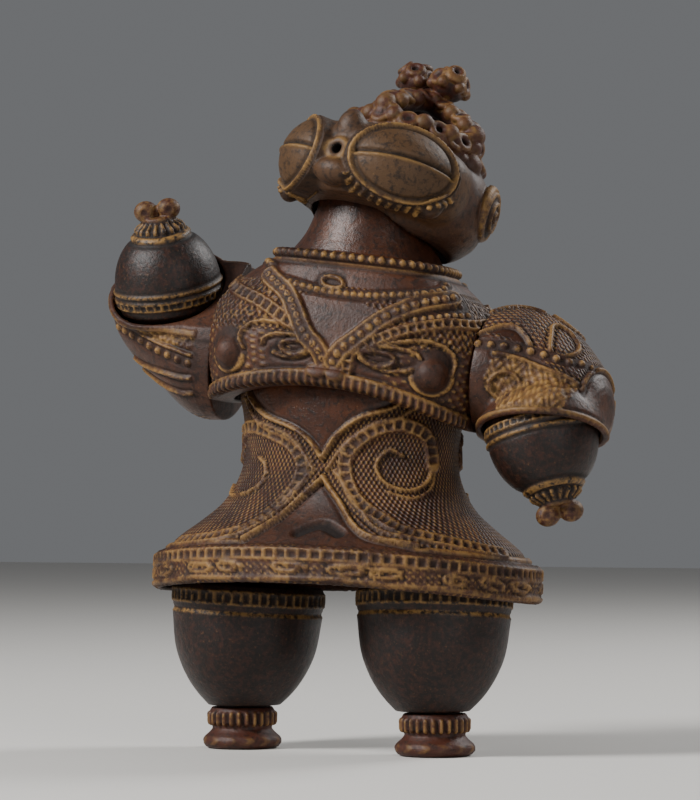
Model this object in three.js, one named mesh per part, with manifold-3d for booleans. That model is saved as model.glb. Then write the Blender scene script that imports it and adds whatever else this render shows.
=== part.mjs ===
// A jointed display figure, a moulded plastic copy of a goggle-eyed clay idol.
// Millimetres, +Z up. The figure faces -Y, so its own left is +X, and its feet stand at z = 0.
import * as THREE from "three";
import { mergeVertices } from "three/addons/utils/BufferGeometryUtils.js";
import Module from "manifold-3d";

const wasm = await Module();
wasm.setup();

// Driving dimensions
const SEAM = 0.35; // open line between two mouldings that touch
const ANKLE_HEIGHT = 7.6; // underside of a leg
const HIPS_HEIGHT = 26.6; // underside of the skirt
const CHEST_HEIGHT = 60.8; // lower edge of the chest
const HEAD_HEIGHT = 101.4; // middle of the head
const SHOULDER_SPAN = 48; // between the two shoulder faces
const SHOULDER_RISE = 7.8; // shoulder axis above the lower edge of the chest
const SHOULDER_BACK = 4.5; // and behind the chest's middle
const RIGHT_FOOT = [-21.5, 1.2];
const LEFT_FOOT = [17.4, -3.0];

// Where each moulding stands, and how it is turned, in degrees about X, Y and Z
const PLACES = {
  hips: { at: [-1, 0, HIPS_HEIGHT], turn: [-3.3, 1.3, 0] },
  chest: { at: [0, 0, CHEST_HEIGHT], turn: [-2, 7, 5] },
  head: { at: [7.1, 1, HEAD_HEIGHT], turn: [-20, 8, -10] },
  rightLeg: { at: [...RIGHT_FOOT, ANKLE_HEIGHT], turn: [-1.5, 3, 0] },
  leftLeg: { at: [LEFT_FOOT[0] - 0.6, LEFT_FOOT[1], ANKLE_HEIGHT], turn: [-5, -0.6, 0] },
};
// How far each upper arm is turned forward, swung back and lifted at its outer end, from hanging straight
// down, and how the forearm itself is turned. In the sleeve's own frame: the middle of the forearm's round
// end, and the middle of the sleeve's opening and its tilt
const RIGHT_ARM = {
  turn: 140,
  swing: -12,
  lift: 4,
  forearm: [17, -8, 25],
  seat: [12.2, -0.5, -12],
  mouth: { at: [11.6, 1.2, -9.7], turn: [-1, 2, 0] },
};
const LEFT_ARM = {
  turn: 24,
  swing: -10,
  lift: 0,
  forearm: [169, -12, 25],
  seat: [14.2, -1.1, -12.8],
  mouth: { at: [15.3, -1.4, -10.8], turn: [2, -11, 0] },
};

const HALF_SPAN = SHOULDER_SPAN / 2;
const DEGREE = Math.PI / 180;

// The smooth height-to-size table that every turned moulding uses: rows of [height, width, depth, ...]
function between(rows, height) {
  const last = rows.length - 1;
  if (height <= rows[0][0]) return rows[0].slice(1);
  if (height >= rows[last][0]) return rows[last].slice(1);
  const k = rows.findIndex((row) => row[0] > height) - 1;
  const [before, from, to, after] = [k - 1, k, k + 1, k + 2].map((i) => rows[Math.min(Math.max(i, 0), last)]);
  const t = (height - from[0]) / (to[0] - from[0]);
  return from.slice(1).map((value, i) => {
    const column = i + 1;
    const slope = (a, b) => (b[0] === a[0] ? 0 : (b[column] - a[column]) / (b[0] - a[0]));
    const start = slope(before, to) * (to[0] - from[0]);
    const end = slope(from, after) * (to[0] - from[0]);
    const rise = to[column] - value;
    return value + t * (start + t * (3 * rise - 2 * start - end + t * (start + end - 2 * rise)));
  });
}

// A closed three.js geometry as a solid, facing out
function solid(geometry) {
  const bare = geometry.clone();
  bare.deleteAttribute("normal");
  bare.deleteAttribute("uv");
  const merged = mergeVertices(bare, 1e-4);
  const faces = [];
  for (let i = 0; i < merged.index.count; i += 3) {
    const [a, b, c] = [0, 1, 2].map((n) => merged.index.getX(i + n));
    if (a !== b && b !== c && c !== a) faces.push(a, b, c);
  }
  const build = (triVerts) =>
    new wasm.Manifold(
      new wasm.Mesh({
        numProp: 3,
        vertProperties: merged.attributes.position.array,
        triVerts: new Uint32Array(triVerts),
      }),
    );
  const made = build(faces);
  return made.volume() < 0 ? build(faces.reverse()) : made;
}

// Moves every vertex of a geometry to map(vertex)
function reshape(geometry, map) {
  const places = geometry.getAttribute("position");
  for (let i = 0; i < places.count; i++) {
    const v = map(new THREE.Vector3().fromBufferAttribute(places, i));
    places.setXYZ(i, v.x, v.y, v.z);
  }
  return geometry;
}

// A solid turned about Z from [radius, height] points, its first and last point on the axis
function turned(outline, sides, map = (v) => v) {
  const geometry = new THREE.LatheGeometry(
    outline.map(([radius, height]) => new THREE.Vector2(radius, height)),
    sides,
  );
  return solid(reshape(geometry.rotateX(Math.PI / 2), map));
}

function matrix({ at = [0, 0, 0], turn = [0, 0, 0] }) {
  const angles = turn.map((a) => a * DEGREE);
  return new THREE.Matrix4()
    .makeRotationFromEuler(new THREE.Euler(...angles, "ZYX"))
    .setPosition(...at);
}

function moved(shape, place) {
  const m = place.isMatrix4 ? place : matrix(place);
  return shape.transform(m.toArray());
}

function joined(shapes) {
  return shapes.reduce((all, shape) => all.add(shape));
}

function ball(radii, place = {}, sides = 10) {
  const [x, y, z] = [radii].flat().length === 3 ? radii : [radii, radii, radii];
  const geometry = new THREE.SphereGeometry(1, sides, Math.max(4, Math.round(sides * 0.6)));
  return moved(solid(geometry.rotateX(Math.PI / 2).scale(x, y, z)), place);
}

function block(size, place) {
  return moved(solid(new THREE.BoxGeometry(...size)), place);
}

// A round ridge of the given radius along a list of points
function cord(points, radius, steps, sides = 4) {
  const section = new THREE.Shape(
    Array.from({ length: sides }, (_, i) => {
      const a = (2 * Math.PI * i) / sides;
      return new THREE.Vector2(radius * Math.cos(a), radius * Math.sin(a));
    }),
  );
  const extrudePath = new THREE.CatmullRomCurve3(points);
  return solid(new THREE.ExtrudeGeometry(section, { steps, extrudePath, bevelEnabled: false }));
}

// The largest body, without the crumbs that cuts leave beside it
function whole(shape) {
  return shape.decompose().reduce((a, b) => (b.volume() > a.volume() ? b : a));
}

// Hips: a flared skirt with a thick hem, and the belly that rises from it
const HEM = { halfWidth: 35.4, halfDepth: 24.2, height: 6.6, arch: 1.7, hollow: 3.7, wall: 1.5 };
const BELLY = [
  [6.6, 33.8, 23.0],
  [9.3, 30.9, 20.4],
  [12, 27.2, 17.9],
  [15.6, 23.2, 15.7],
  [21, 20.2, 13.9],
  [26, 19.5, 13.4],
  [31, 20.1, 13.7],
  [35.4, 21.0, 13.8],
  [39.4, 20.2, 12.9],
];
const BELLY_TOP = 41.2;

// The hem's middle is carried higher than its ends, at the front and the back
function archLift(x, height) {
  const low = 1 - THREE.MathUtils.smoothstep(height, HEM.height, 20);
  return HEM.arch * low * Math.max(0, 1 - (x / HEM.halfWidth) ** 2);
}

function bellySkin(angle, height, proud = 0) {
  const [width, depth] = between(BELLY, height);
  const x = (width + proud) * Math.sin(angle);
  return new THREE.Vector3(x, -(depth + proud) * Math.cos(angle), height + archLift(x, height));
}

// An outline in the unrolled skin, angle in degrees from the front and height, as points on the body
function onSkin(skin, places, proud) {
  return places.map(([degrees, height]) => skin(degrees * DEGREE, height, proud));
}

// A spiral of the given turns, as unrolled [degrees, height] places, from its outer end inwards
function spiral({ centre, size, turns, start, steps = 9 }, side) {
  const count = Math.round(Math.abs(turns) * steps);
  return Array.from({ length: count + 1 }, (_, i) => {
    const share = i / count;
    const angle = (start + 360 * turns * share) * DEGREE;
    const reach = 1 - 0.78 * share;
    const [across, up] = [size[0] * reach * Math.cos(angle), size[1] * reach * Math.sin(angle)];
    return [side * (centre[0] + across), centre[1] + up];
  });
}

const BELLY_SPIRAL = { centre: [43, 22.4], size: [32, 9.6], turns: 1.5, start: -150 };
const BELLY_BAND = [[56, 31.4], [30, 29.8], [10, 26.2], [0, 24], [-10, 21.4], [-24, 16.6], [-38, 11.6]];
const BACK = 180; // the back carries the same bands, half a turn round

function hips() {
  const { halfWidth, halfDepth, height, hollow, wall } = HEM;
  const press = (v) => {
    const reach = Math.hypot(v.x, v.y);
    const [width, depth] = v.z > height ? between(BELLY, v.z) : [halfWidth, halfDepth];
    const y = (v.y * depth) / width;
    return new THREE.Vector3(v.x, y, v.z + archLift(v.x, v.z) * Math.min(1, reach / 8));
  };
  const outline = [
    [0, hollow],
    [halfWidth - wall, hollow],
    [halfWidth - wall, 0],
    [halfWidth - 0.8, 0],
    [halfWidth, 1],
    [halfWidth, height - 1],
    [halfWidth - 0.6, height - 0.2],
    ...BELLY.map(([at, width]) => [width, at]),
    [12, 40.9],
    [0, BELLY_TOP],
  ];
  const shapes = [turned(outline, 26, press)];
  const ridge = (places, radius, steps) => shapes.push(cord(onSkin(bellySkin, places, -0.4), radius, steps));
  for (const side of [1, -1]) {
    for (const round of [0, BACK]) ridge(BELLY_BAND.map(([a, h]) => [side * a + round, h]), 1.15, 7);
    ridge(spiral(BELLY_SPIRAL, side), 1.0, 10);
  }
  return joined(shapes);
}

// Chest: a barrel with flat shoulder faces, a collar, and the neck that rises from it
const BARREL = [
  [-3.2, 23.0, 14.4],
  [-2.6, 24.5, 15.7],
  [-1.0, 24.7, 15.9],
  [-0.4, 24.3, 15.4],
  [4, 25.6, 15.8],
  [9, 26.4, 15.8],
  [14, 25.5, 15.0],
  [18.5, 22.0, 13.5],
  [21.6, 18.2, 12.6],
  [23.2, 15.6, 12.3],
  [23.6, 15.9, 12.9],
  [24.6, 15.5, 12.6],
];
const NECK = [
  [24.8, 13.6, 11.5],
  [28, 11.5, 10.4],
  [31, 10.4, 9.7],
  [34.6, 9.6, 9.1],
];
const CUP_GAP = 1.1; // open line between the chest's lower edge and the belly in it
const BELT_ARCH = 4.8; // the lower edge is this much higher in the middle than at the arms

const SQUARENESS = 0.09; // how far the chest's section stands out from an oval at its corners
const NECK_GAP = 0.9; // open line between the neck and the head round it

function beltLift(x, height) {
  const low = 1 - THREE.MathUtils.smoothstep(height, 1, 12);
  return BELT_ARCH * low * Math.max(0, 1 - (x / HALF_SPAN) ** 2);
}

function chestSkin(angle, height, proud = 0) {
  const [width, depth] = between(BARREL, height);
  const square = 1 + SQUARENESS * Math.sin(2 * angle) ** 2;
  const x = (width + proud) * square * Math.sin(angle);
  const y = -(depth + proud) * square * Math.cos(angle);
  const clipped = THREE.MathUtils.clamp(x, -HALF_SPAN, HALF_SPAN);
  return new THREE.Vector3(clipped, y, height + beltLift(clipped, height));
}

const YOKE = [[64, 21.5], [40, 18.8], [22, 15], [10, 9.1], [0, -0.4]];
const CHEST_SPIRALS = [
  { side: 1, centre: [28, 7.2], size: [15, 5.6], turns: 1.4, start: 20 },
  { side: -1, centre: [17, 7.8], size: [14, 5.6], turns: 1.4, start: 20 },
];
const NIPPLE = { angle: 42, height: 4.4, radius: 2.6 };

// Places on the figure's left, and the same ones mirrored, as one run from side to side
function mirrored(places) {
  const half = places.map(([a, h]) => [-a, h]);
  return [...half, ...places.slice(0, -1).reverse()];
}

function chest() {
  const collarTop = NECK[0][0];
  const press = (v) => {
    const isNeck = v.z >= collarTop;
    const [width, depth] = between(isNeck ? NECK : BARREL, v.z);
    const angle = Math.atan2(v.x, -v.y);
    const square = isNeck ? 1 : 1 + SQUARENESS * Math.sin(2 * angle) ** 2;
    const x = THREE.MathUtils.clamp(v.x * square, -HALF_SPAN, HALF_SPAN);
    return new THREE.Vector3(x, ((v.y * depth) / width) * square, v.z + beltLift(x, v.z));
  };
  const rise = (rows) => rows.map(([h, width]) => [width, h]);
  const outline = [[0, BARREL[0][0]], ...rise(BARREL), ...rise(NECK), [8.4, 35.4], [0, 35.4]];
  const shapes = [turned(outline, 24, press)];
  const ridge = (places, radius, steps) => shapes.push(cord(onSkin(chestSkin, places, -0.3), radius, steps));
  for (const round of [0, BACK]) ridge(mirrored(YOKE).map(([a, h]) => [a + round, h]), 1.15, 9);
  for (const { side, ...scroll } of CHEST_SPIRALS) {
    ridge(spiral(scroll, side), 0.9, 9);
    const at = chestSkin(side * NIPPLE.angle * DEGREE, NIPPLE.height).toArray();
    shapes.push(ball(NIPPLE.radius, { at }, 8));
  }
  const faces = [1, -1].map((side) => block([20, 60, 60], { at: [side * (HALF_SPAN + 10), 0, 10] }));
  return joined(shapes).subtract(joined(faces));
}

// Sleeve: a drooping puffed shoulder, round at its face, open below, in its own frame with +X outward
const SLEEVE = [
  [-5, 10.8, 0],
  [0, 11.7, 0],
  [4, 12.1, -0.1],
  [9, 12.0, -0.9],
  [13.5, 11.0, -2.2],
  [17, 9.5, -3.4],
  [20.5, 7.3, -4.7],
  [22.4, 4.8, -5.4],
];
const SLEEVE_TIP = 23;
const SLEEVE_DEPTH = 0.95; // depth front to back for its height
// The shoulder end is longer than high: how much, in which direction, and where along the sleeve it fades out
const SLEEVE_LONG = { stretch: 0.26, tilt: 25, from: 1, to: 13 };

// Forearm: an egg with a banded base, a ribbed ring and a knotted tip. The middle of its round end is at 0
// and its tip points up, rows of [radius, height]
const EGG = [
  [4.6, -8.7],
  [6.9, -7.4],
  [8.2, -6.0],
  [8.8, -5.7],
  [9.5, -2.8],
  [9.4, -0.3],
  [8.7, 2.7],
  [7.2, 5.5],
  [4.4, 8.3],
];
const EGG_BASE = -9.3;
const EGG_SIDES = 13;

function egg(tip, grow = 0) {
  const stretch = 1 - grow / EGG_BASE;
  return turned([[0, EGG_BASE - grow], ...EGG.map(([r, h]) => [r + grow, h * stretch]), ...tip], EGG_SIDES);
}

function forearm() {
  const tip = [[4.3, 9.1], [3.0, 10.0], [2.8, 11], [0, 11]];
  const lobes = [1, -1].map((side) => ball([2.1, 1.8, 1.9], { at: [side * 2.0, 0, 12.0] }, 6));
  return joined([egg(tip), ...lobes]);
}

// Leg: a round-bellied cup with a moulded ring at its top, standing on its flat underside
const LEG = [
  [0, 6.3],
  [1.6, 7.9],
  [3.6, 9.5],
  [6.4, 11.1],
  [10, 12.4],
  [15.8, 13.2],
];
const LEG_TOP = 21.2;

function leg(place) {
  const outline = [
    [0, -2],
    [3.9, -2],
    ...LEG.map(([h, r]) => [r, h]),
    [12.9, 16.6],
    [13.2, 17.1],
    [13.3, 20.2],
    [12.6, LEG_TOP],
    [0, LEG_TOP],
  ];
  const below = block([60, 60, 10], { at: [place.at[0], place.at[1], ANKLE_HEIGHT - 5] });
  return moved(turned(outline, 18), place).subtract(below);
}

// Foot: a waisted disc with a ribbed ring under the ankle
function foot() {
  const top = ANKLE_HEIGHT - SEAM;
  const outline = [
    [0, 0],
    [5.7, 0],
    [6.8, 0.8],
    [6.8, 1.9],
    [5.2, 3.5],
    [5.9, 4.3],
    [5.9, 6.2],
    [5.3, top],
    [0, top],
  ];
  return turned(outline, 16);
}

// Head: a wide visor with two lens eyes, a bowl-shaped skull open round the neck, and an openwork crown
const VISOR = {
  centre: [0, -2, -2.8],
  radii: [17.4, 13.6],
  rise: 7.4,
  drop: 8.6,
  square: 2.8,
  underside: -9.8,
};
const EYE = { angle: 42.5, height: -3.3, slant: 4, halfLength: 10, halfHeight: 7, sink: 1.2 };
const EYE_BEND = { along: 0.02, up: 0.03 }; // how the lens falls back from its middle to follow the visor
// The lens and its raised rim: share of the oval's size, and how far it stands out
const EYE_PROFILE = [
  [0, 3.2],
  [0.5, 2.8],
  [0.84, 1.7],
  [0.9, 1.2],
  [0.93, 1.9],
  [1.0, 1.9],
  [1.04, 1.1],
  [1.04, -2.5],
  [0, -2.5],
];
const SLIT = 0.8;
const SKULL = [
  [-11.8, 12.4, 9.6],
  [-10.6, 14.2, 11],
  [-8, 16.0, 12.8],
  [-3, 16.4, 13.2],
  [1, 15.4, 12.4],
  [4.5, 12.4, 10.2],
];
const SKULL_BACK = 6.2; // middle of the skull behind the middle of the head
const CROWN = { at: [0, 5, 4.4], radius: 11.4, thick: 1.9, lift: 5.6, top: [0, 4.7, 15], lumps: 8 };
const FINIAL = { size: [6.6, 5.2, 3.7], rise: 2.8, knobs: 7 };
const KNOB = 2.0;
const KNOTS = [-50, -25, 25, 90, -90, 180]; // round the rim, in degrees from the front

// The visor is fuller than an oval: how wide it is at a height, as a share of its widest
function visorLevel(height) {
  const { centre, rise, drop, square } = VISOR;
  const above = height - centre[2];
  return (1 - Math.min(1, above > 0 ? above / rise : -above / drop) ** square) ** (1 / square);
}

function visorPlace(degrees, height, inset = 0) {
  const { centre, radii } = VISOR;
  const a = degrees * DEGREE;
  const [rx, ry] = [0, 1].map((i) => radii[i] * visorLevel(height) - inset);
  return [centre[0] + rx * Math.sin(a), centre[1] - ry * Math.cos(a), height];
}

function visor() {
  const { centre, radii, rise, underside } = VISOR;
  const top = centre[2] + rise;
  const heights = [underside, -8.6, -6.4, -3.4, 0, 2, 3.6, 4.3];
  const outline = [[0, underside], ...heights.map((h) => [radii[0] * visorLevel(h), h]), [0, top]];
  return turned(outline, 20, (v) => new THREE.Vector3(v.x, (v.y * radii[1]) / radii[0] + centre[1], v.z));
}

function eyes() {
  const { angle, height, slant, halfLength, halfHeight, sink } = EYE;
  const bulge = EYE_PROFILE[0][1];
  const curve = (v) => {
    const back = EYE_BEND.along * v.x * v.x + EYE_BEND.up * v.z * v.z;
    return new THREE.Vector3(v.x, v.y + back, v.z);
  };
  const parts = { add: [], cut: [] };
  for (const side of [1, -1]) {
    const place = new THREE.Matrix4()
      .makeTranslation(...visorPlace(side * angle, height, sink))
      .multiply(new THREE.Matrix4().makeRotationZ(side * angle * DEGREE))
      .multiply(new THREE.Matrix4().makeRotationY(-side * slant * DEGREE));
    const lay = (v) => curve(new THREE.Vector3(v.x * halfLength, -v.z, v.y * halfHeight));
    const slit = new THREE.BoxGeometry(2 * halfLength - 2, 3, SLIT, 4, 1, 1);
    slit.translate(0, -bulge - 0.4, 0);
    parts.add.push(moved(turned(EYE_PROFILE, 14, lay), place));
    parts.cut.push(moved(solid(reshape(slit, curve)), place));
  }
  return parts;
}

function crown() {
  const { at: [x, y, z], radius, thick, lift, lumps } = CROWN;
  const onRim = (degrees, rise = 0, out = 0) => {
    const a = degrees * DEGREE;
    return [x + (radius + out) * Math.sin(a), y - (radius + out) * Math.cos(a), z + rise];
  };
  const lumpy = (v) => {
    const a = Math.atan2(v.y, v.x);
    const out = (Math.hypot(v.x, v.y) - radius) * (1.1 + 0.22 * Math.cos(lumps * a));
    const reach = (radius + out) / Math.hypot(v.x, v.y);
    return new THREE.Vector3(v.x * reach + x, v.y * reach + y, v.z + z);
  };
  const shapes = [solid(reshape(new THREE.TorusGeometry(radius, thick, 5, 3 * lumps), lumpy))];
  const top = new THREE.Vector3(...CROWN.top);
  for (const degrees of [0, 90, 180, 270]) {
    const path = [onRim(degrees), onRim(degrees, lift, -1.4)].map((at) => new THREE.Vector3(...at));
    shapes.push(cord([...path, top], thick, 4, 5));
    shapes.push(ball(KNOB, { at: onRim(degrees, lift - 1, 0.2) }, 5));
  }
  for (const degrees of KNOTS) shapes.push(ball(KNOB, { at: onRim(degrees, 1.9, -0.4) }, 5));
  const { size, knobs } = FINIAL;
  const tuft = new THREE.SphereGeometry(1, 2 * knobs, 6).rotateX(Math.PI / 2);
  const knobbly = (v) => {
    const out = 1 + 0.16 * Math.cos(knobs * Math.atan2(v.y, v.x)) * Math.hypot(v.x, v.y);
    return new THREE.Vector3(v.x * out * size[0], v.y * out * size[1], v.z * size[2] + FINIAL.rise).add(top);
  };
  shapes.push(solid(reshape(tuft, knobbly)));
  return joined(shapes);
}

function head(neck) {
  const { add, cut } = eyes();
  const outline = [[0, SKULL[0][0]], ...SKULL.map(([h, width]) => [width, h]), [8, 6.3], [0, 6.9]];
  const press = (v) => {
    const [width, depth] = between(SKULL, v.z);
    return new THREE.Vector3(v.x, (v.y * depth) / width + SKULL_BACK, v.z);
  };
  const nose = moved(solid(new THREE.TorusGeometry(1.7, 0.8, 5, 10).rotateX(Math.PI / 2)), {
    at: visorPlace(0, -3.6, 0.1),
  });
  const chin = ball([3.6, 2.8, 2.2], { at: visorPlace(0, -7.6, 0.6) }, 8);
  const bridge = ball([2.4, 2.2, 3.0], { at: visorPlace(0, 1.4, 0.4) }, 8);
  const lobes = [1, -1].map((side) => ball([2.2, 2.2, 3], { at: visorPlace(side * 74, -7.4, 0.8) }, 6));
  const medals = [1, -1].map((side) => {
    const degrees = side * 112;
    const a = degrees * DEGREE;
    const [, width, depth] = SKULL[3];
    const at = [(width - 0.6) * Math.sin(a), SKULL_BACK - (depth - 0.6) * Math.cos(a), -2.6];
    return ball([4.8, 2.0, 4.8], { at, turn: [0, 0, degrees] }, 7);
  });
  const skull = turned(outline, 16, press);
  const all = joined([visor(), skull, ...add, nose, chin, bridge, ...lobes, ...medals, crown()]);
  return whole(all.subtract(joined(cut)).subtract(neck));
}

// Assembly: mates are cut with a copy of their neighbour that is grown by the seam
const chestMatrix = matrix(PLACES.chest);
const headMatrix = matrix(PLACES.head);
const hipsMatrix = matrix(PLACES.hips);

function sleeveMatrix(side, { turn, swing, lift }) {
  return chestMatrix
    .clone()
    .multiply(new THREE.Matrix4().makeTranslation(side * (HALF_SPAN + SEAM), SHOULDER_BACK, SHOULDER_RISE))
    .multiply(new THREE.Matrix4().makeRotationZ(swing * DEGREE))
    .multiply(new THREE.Matrix4().makeRotationY(-side * lift * DEGREE))
    .multiply(new THREE.Matrix4().makeRotationX(-turn * DEGREE))
    .multiply(new THREE.Matrix4().makeScale(side, 1, 1));
}

// The forearm's round end sits in the sleeve's socket
function forearmMatrix(sleevePlace, { seat, forearm: turn }) {
  const at = new THREE.Vector3(...seat).applyMatrix4(sleevePlace).toArray();
  return matrix({ at, turn });
}

function sleeve(side, place, forearmPlace, arm) {
  const outline = [[0, SLEEVE[0][0]], ...SLEEVE.map(([x, radius]) => [radius, x]), [0, SLEEVE_TIP]];
  const { stretch, tilt, from, to } = SLEEVE_LONG;
  const [cos, sin] = [Math.cos(tilt * DEGREE), Math.sin(tilt * DEGREE)];
  const lay = (v) => {
    const along = v.x * cos + v.y * sin;
    const more = stretch * (1 - THREE.MathUtils.smoothstep(v.z, from, to)) * along;
    const [deep, high] = [(v.x + more * cos) * SLEEVE_DEPTH, v.y + more * sin];
    return new THREE.Vector3(v.z, deep, high + between(SLEEVE, v.z)[1]);
  };
  const puff = turned(outline, 16, lay);
  const opening = moved(block([60, 60, 20], { at: [0, 0, -10] }), arm.mouth);
  const socket = moved(egg([[0, 9]], 2 * SEAM), forearmPlace);
  const inside = moved(block([40, 80, 80], { at: [side * (HALF_SPAN + SEAM - 20), 0, 0] }), chestMatrix);
  return moved(puff.subtract(opening), place).subtract(socket).subtract(inside);
}

const leftSleeve = sleeveMatrix(1, LEFT_ARM);
const rightSleeve = sleeveMatrix(-1, RIGHT_ARM);
const leftArm = forearmMatrix(leftSleeve, LEFT_ARM);
const rightArm = forearmMatrix(rightSleeve, RIGHT_ARM);

const hipsShape = moved(hips(), hipsMatrix);
// The room that the belly takes up inside the chest
function bellyRoom() {
  const sides = BELLY.slice(4).map(([h, width]) => [width + CUP_GAP, h]);
  const top = BELLY_TOP + SEAM;
  const press = (v) => {
    const [width, depth] = between(BELLY, v.z);
    return new THREE.Vector3(v.x, (v.y * (depth + CUP_GAP)) / (width + CUP_GAP), v.z);
  };
  return turned([[0, sides[0][1]], ...sides, [12.4, top], [0, top + 0.2]], 26, press);
}

// The room that the neck takes up inside the head
function neckRoom() {
  const heights = [24.5, 26.5, 29.5, 32.5, 34.6];
  const sides = heights.map((h) => [between(NECK, h)[0] + NECK_GAP, h]);
  const top = 35.4 + NECK_GAP;
  const press = (v) => new THREE.Vector3(v.x, v.y * 0.95, v.z);
  return turned([[0, 24], ...sides, [9.4, top], [0, top]], 26, press);
}

const chestShape = whole(moved(chest(), chestMatrix).subtract(moved(bellyRoom(), hipsMatrix)));
const neckInHead = moved(neckRoom(), headMatrix.clone().invert().multiply(chestMatrix));
const headShape = moved(head(neckInHead), headMatrix);

const CLAY_BROWN = 0x4a2c1e;
const DARK_BROWN = 0x2b1b15;

function mesh(name, shape, colour) {
  const { numProp, vertProperties, triVerts } = shape.getMesh();
  const places = new Float32Array((vertProperties.length / numProp) * 3);
  for (let i = 0; i < places.length / 3; i++)
    places.set(vertProperties.subarray(i * numProp, i * numProp + 3), i * 3);
  const geometry = new THREE.BufferGeometry();
  geometry.setAttribute("position", new THREE.BufferAttribute(places, 3));
  geometry.setIndex(new THREE.BufferAttribute(triVerts, 1));
  geometry.computeVertexNormals();
  const material = new THREE.MeshStandardMaterial({ color: colour, roughness: 0.45, metalness: 0 });
  const made = new THREE.Mesh(geometry, material);
  made.name = name;
  return made;
}

function footMesh(name, [x, y]) {
  const made = mesh(name, foot(), CLAY_BROWN);
  made.position.set(x, y, 0);
  return made;
}

const figure = new THREE.Group();
figure.add(
  mesh("head", headShape, CLAY_BROWN),
  mesh("chest", chestShape, CLAY_BROWN),
  mesh("hips_and_skirt", hipsShape, CLAY_BROWN),
  mesh("left_sleeve", sleeve(1, leftSleeve, leftArm, LEFT_ARM), CLAY_BROWN),
  mesh("right_sleeve", sleeve(-1, rightSleeve, rightArm, RIGHT_ARM), CLAY_BROWN),
  mesh("left_forearm", moved(forearm(), leftArm), DARK_BROWN),
  mesh("right_forearm", moved(forearm(), rightArm), DARK_BROWN),
  mesh("left_leg", leg(PLACES.leftLeg), DARK_BROWN),
  mesh("right_leg", leg(PLACES.rightLeg), DARK_BROWN),
  footMesh("left_foot", LEFT_FOOT),
  footMesh("right_foot", RIGHT_FOOT),
);

// The middle of the ground that the figure covers is at the origin
const ground = new THREE.Box3().setFromObject(figure);
figure.position.set(-(ground.min.x + ground.max.x) / 2, -(ground.min.y + ground.max.y) / 2, 0);

export default figure;
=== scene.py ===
import math

import bpy
import numpy as np
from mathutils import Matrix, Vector


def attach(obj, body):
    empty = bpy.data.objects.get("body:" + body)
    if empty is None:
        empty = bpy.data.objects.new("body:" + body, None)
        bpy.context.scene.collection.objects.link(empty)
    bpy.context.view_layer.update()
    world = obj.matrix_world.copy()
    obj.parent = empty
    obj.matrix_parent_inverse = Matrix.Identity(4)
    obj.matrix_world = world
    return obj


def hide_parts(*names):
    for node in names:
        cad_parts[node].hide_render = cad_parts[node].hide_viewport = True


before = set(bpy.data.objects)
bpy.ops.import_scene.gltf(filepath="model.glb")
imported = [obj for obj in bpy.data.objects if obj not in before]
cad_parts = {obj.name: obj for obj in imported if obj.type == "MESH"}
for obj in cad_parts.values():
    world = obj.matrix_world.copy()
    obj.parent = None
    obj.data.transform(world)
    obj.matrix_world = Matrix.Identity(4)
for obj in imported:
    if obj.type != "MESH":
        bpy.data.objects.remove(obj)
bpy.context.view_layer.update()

# Everything below is in millimetres until a mesh is made
MM = 0.001
SHIFT = np.array([-0.31, -0.29, 0.0])  # puts the middle of the ground the figure covers at the origin
SEAM = 0.35  # half of the open line between two mouldings

# ---- small tools -------------------------------------------------------------------------------


def smoothstep(x, low, high):
    t = np.clip((x - low) / (high - low), 0, 1)
    return t * t * (3 - 2 * t)


def smooth_table(rows, step=0.05):
    """A function of height for each further column of the rows, rounded through every row."""
    rows = np.asarray(rows, float)
    z = rows[:, 0]
    at = np.arange(z[0], z[-1] + step, step).clip(z[0], z[-1])
    k = np.clip(np.searchsorted(z, at, side="right") - 1, 0, len(z) - 2)
    before, after = np.maximum(k - 1, 0), np.minimum(k + 2, len(z) - 1)
    run = z[k + 1] - z[k]
    t = (at - z[k]) / run
    columns = []
    for column in rows.T[1:]:
        start = (column[k + 1] - column[before]) / (z[k + 1] - z[before]) * run
        end = (column[after] - column[k]) / (z[after] - z[k]) * run
        rise = column[k + 1] - column[k]
        bend = 3 * rise - 2 * start - end + t * (start + end - 2 * rise)
        columns.append(column[k] + t * (start + t * bend))
    return lambda height: [np.interp(height, at, column) for column in columns]


def place(at, turn=(0, 0, 0)):
    """A 4x4 placement: turned about X, then Y, then Z, then moved."""
    m = np.eye(4)
    for (i, j), degrees in zip(((1, 2), (2, 0), (0, 1)), turn):
        a = math.radians(degrees)
        r = np.eye(4)
        r[i, i] = r[j, j] = math.cos(a)
        r[i, j], r[j, i] = -math.sin(a), math.sin(a)
        m = r @ m
    m[:3, 3] = at
    return m


def carry(matrix, points):
    return points @ matrix[:3, :3].T + matrix[:3, 3]


def back(matrix, points):
    return carry(np.linalg.inv(matrix), points)


def merge(a, b, soft):
    """Two shapes joined with a soft fillet."""
    h = np.clip(0.5 + 0.5 * (b - a) / soft, 0, 1)
    return b * (1 - h) + a * h - soft * h * (1 - h)


PROFILE_STEP = 0.15  # grid of a profile's distances
PROFILE_MARGIN = 3.0  # how far the grid goes past the profile


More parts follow.
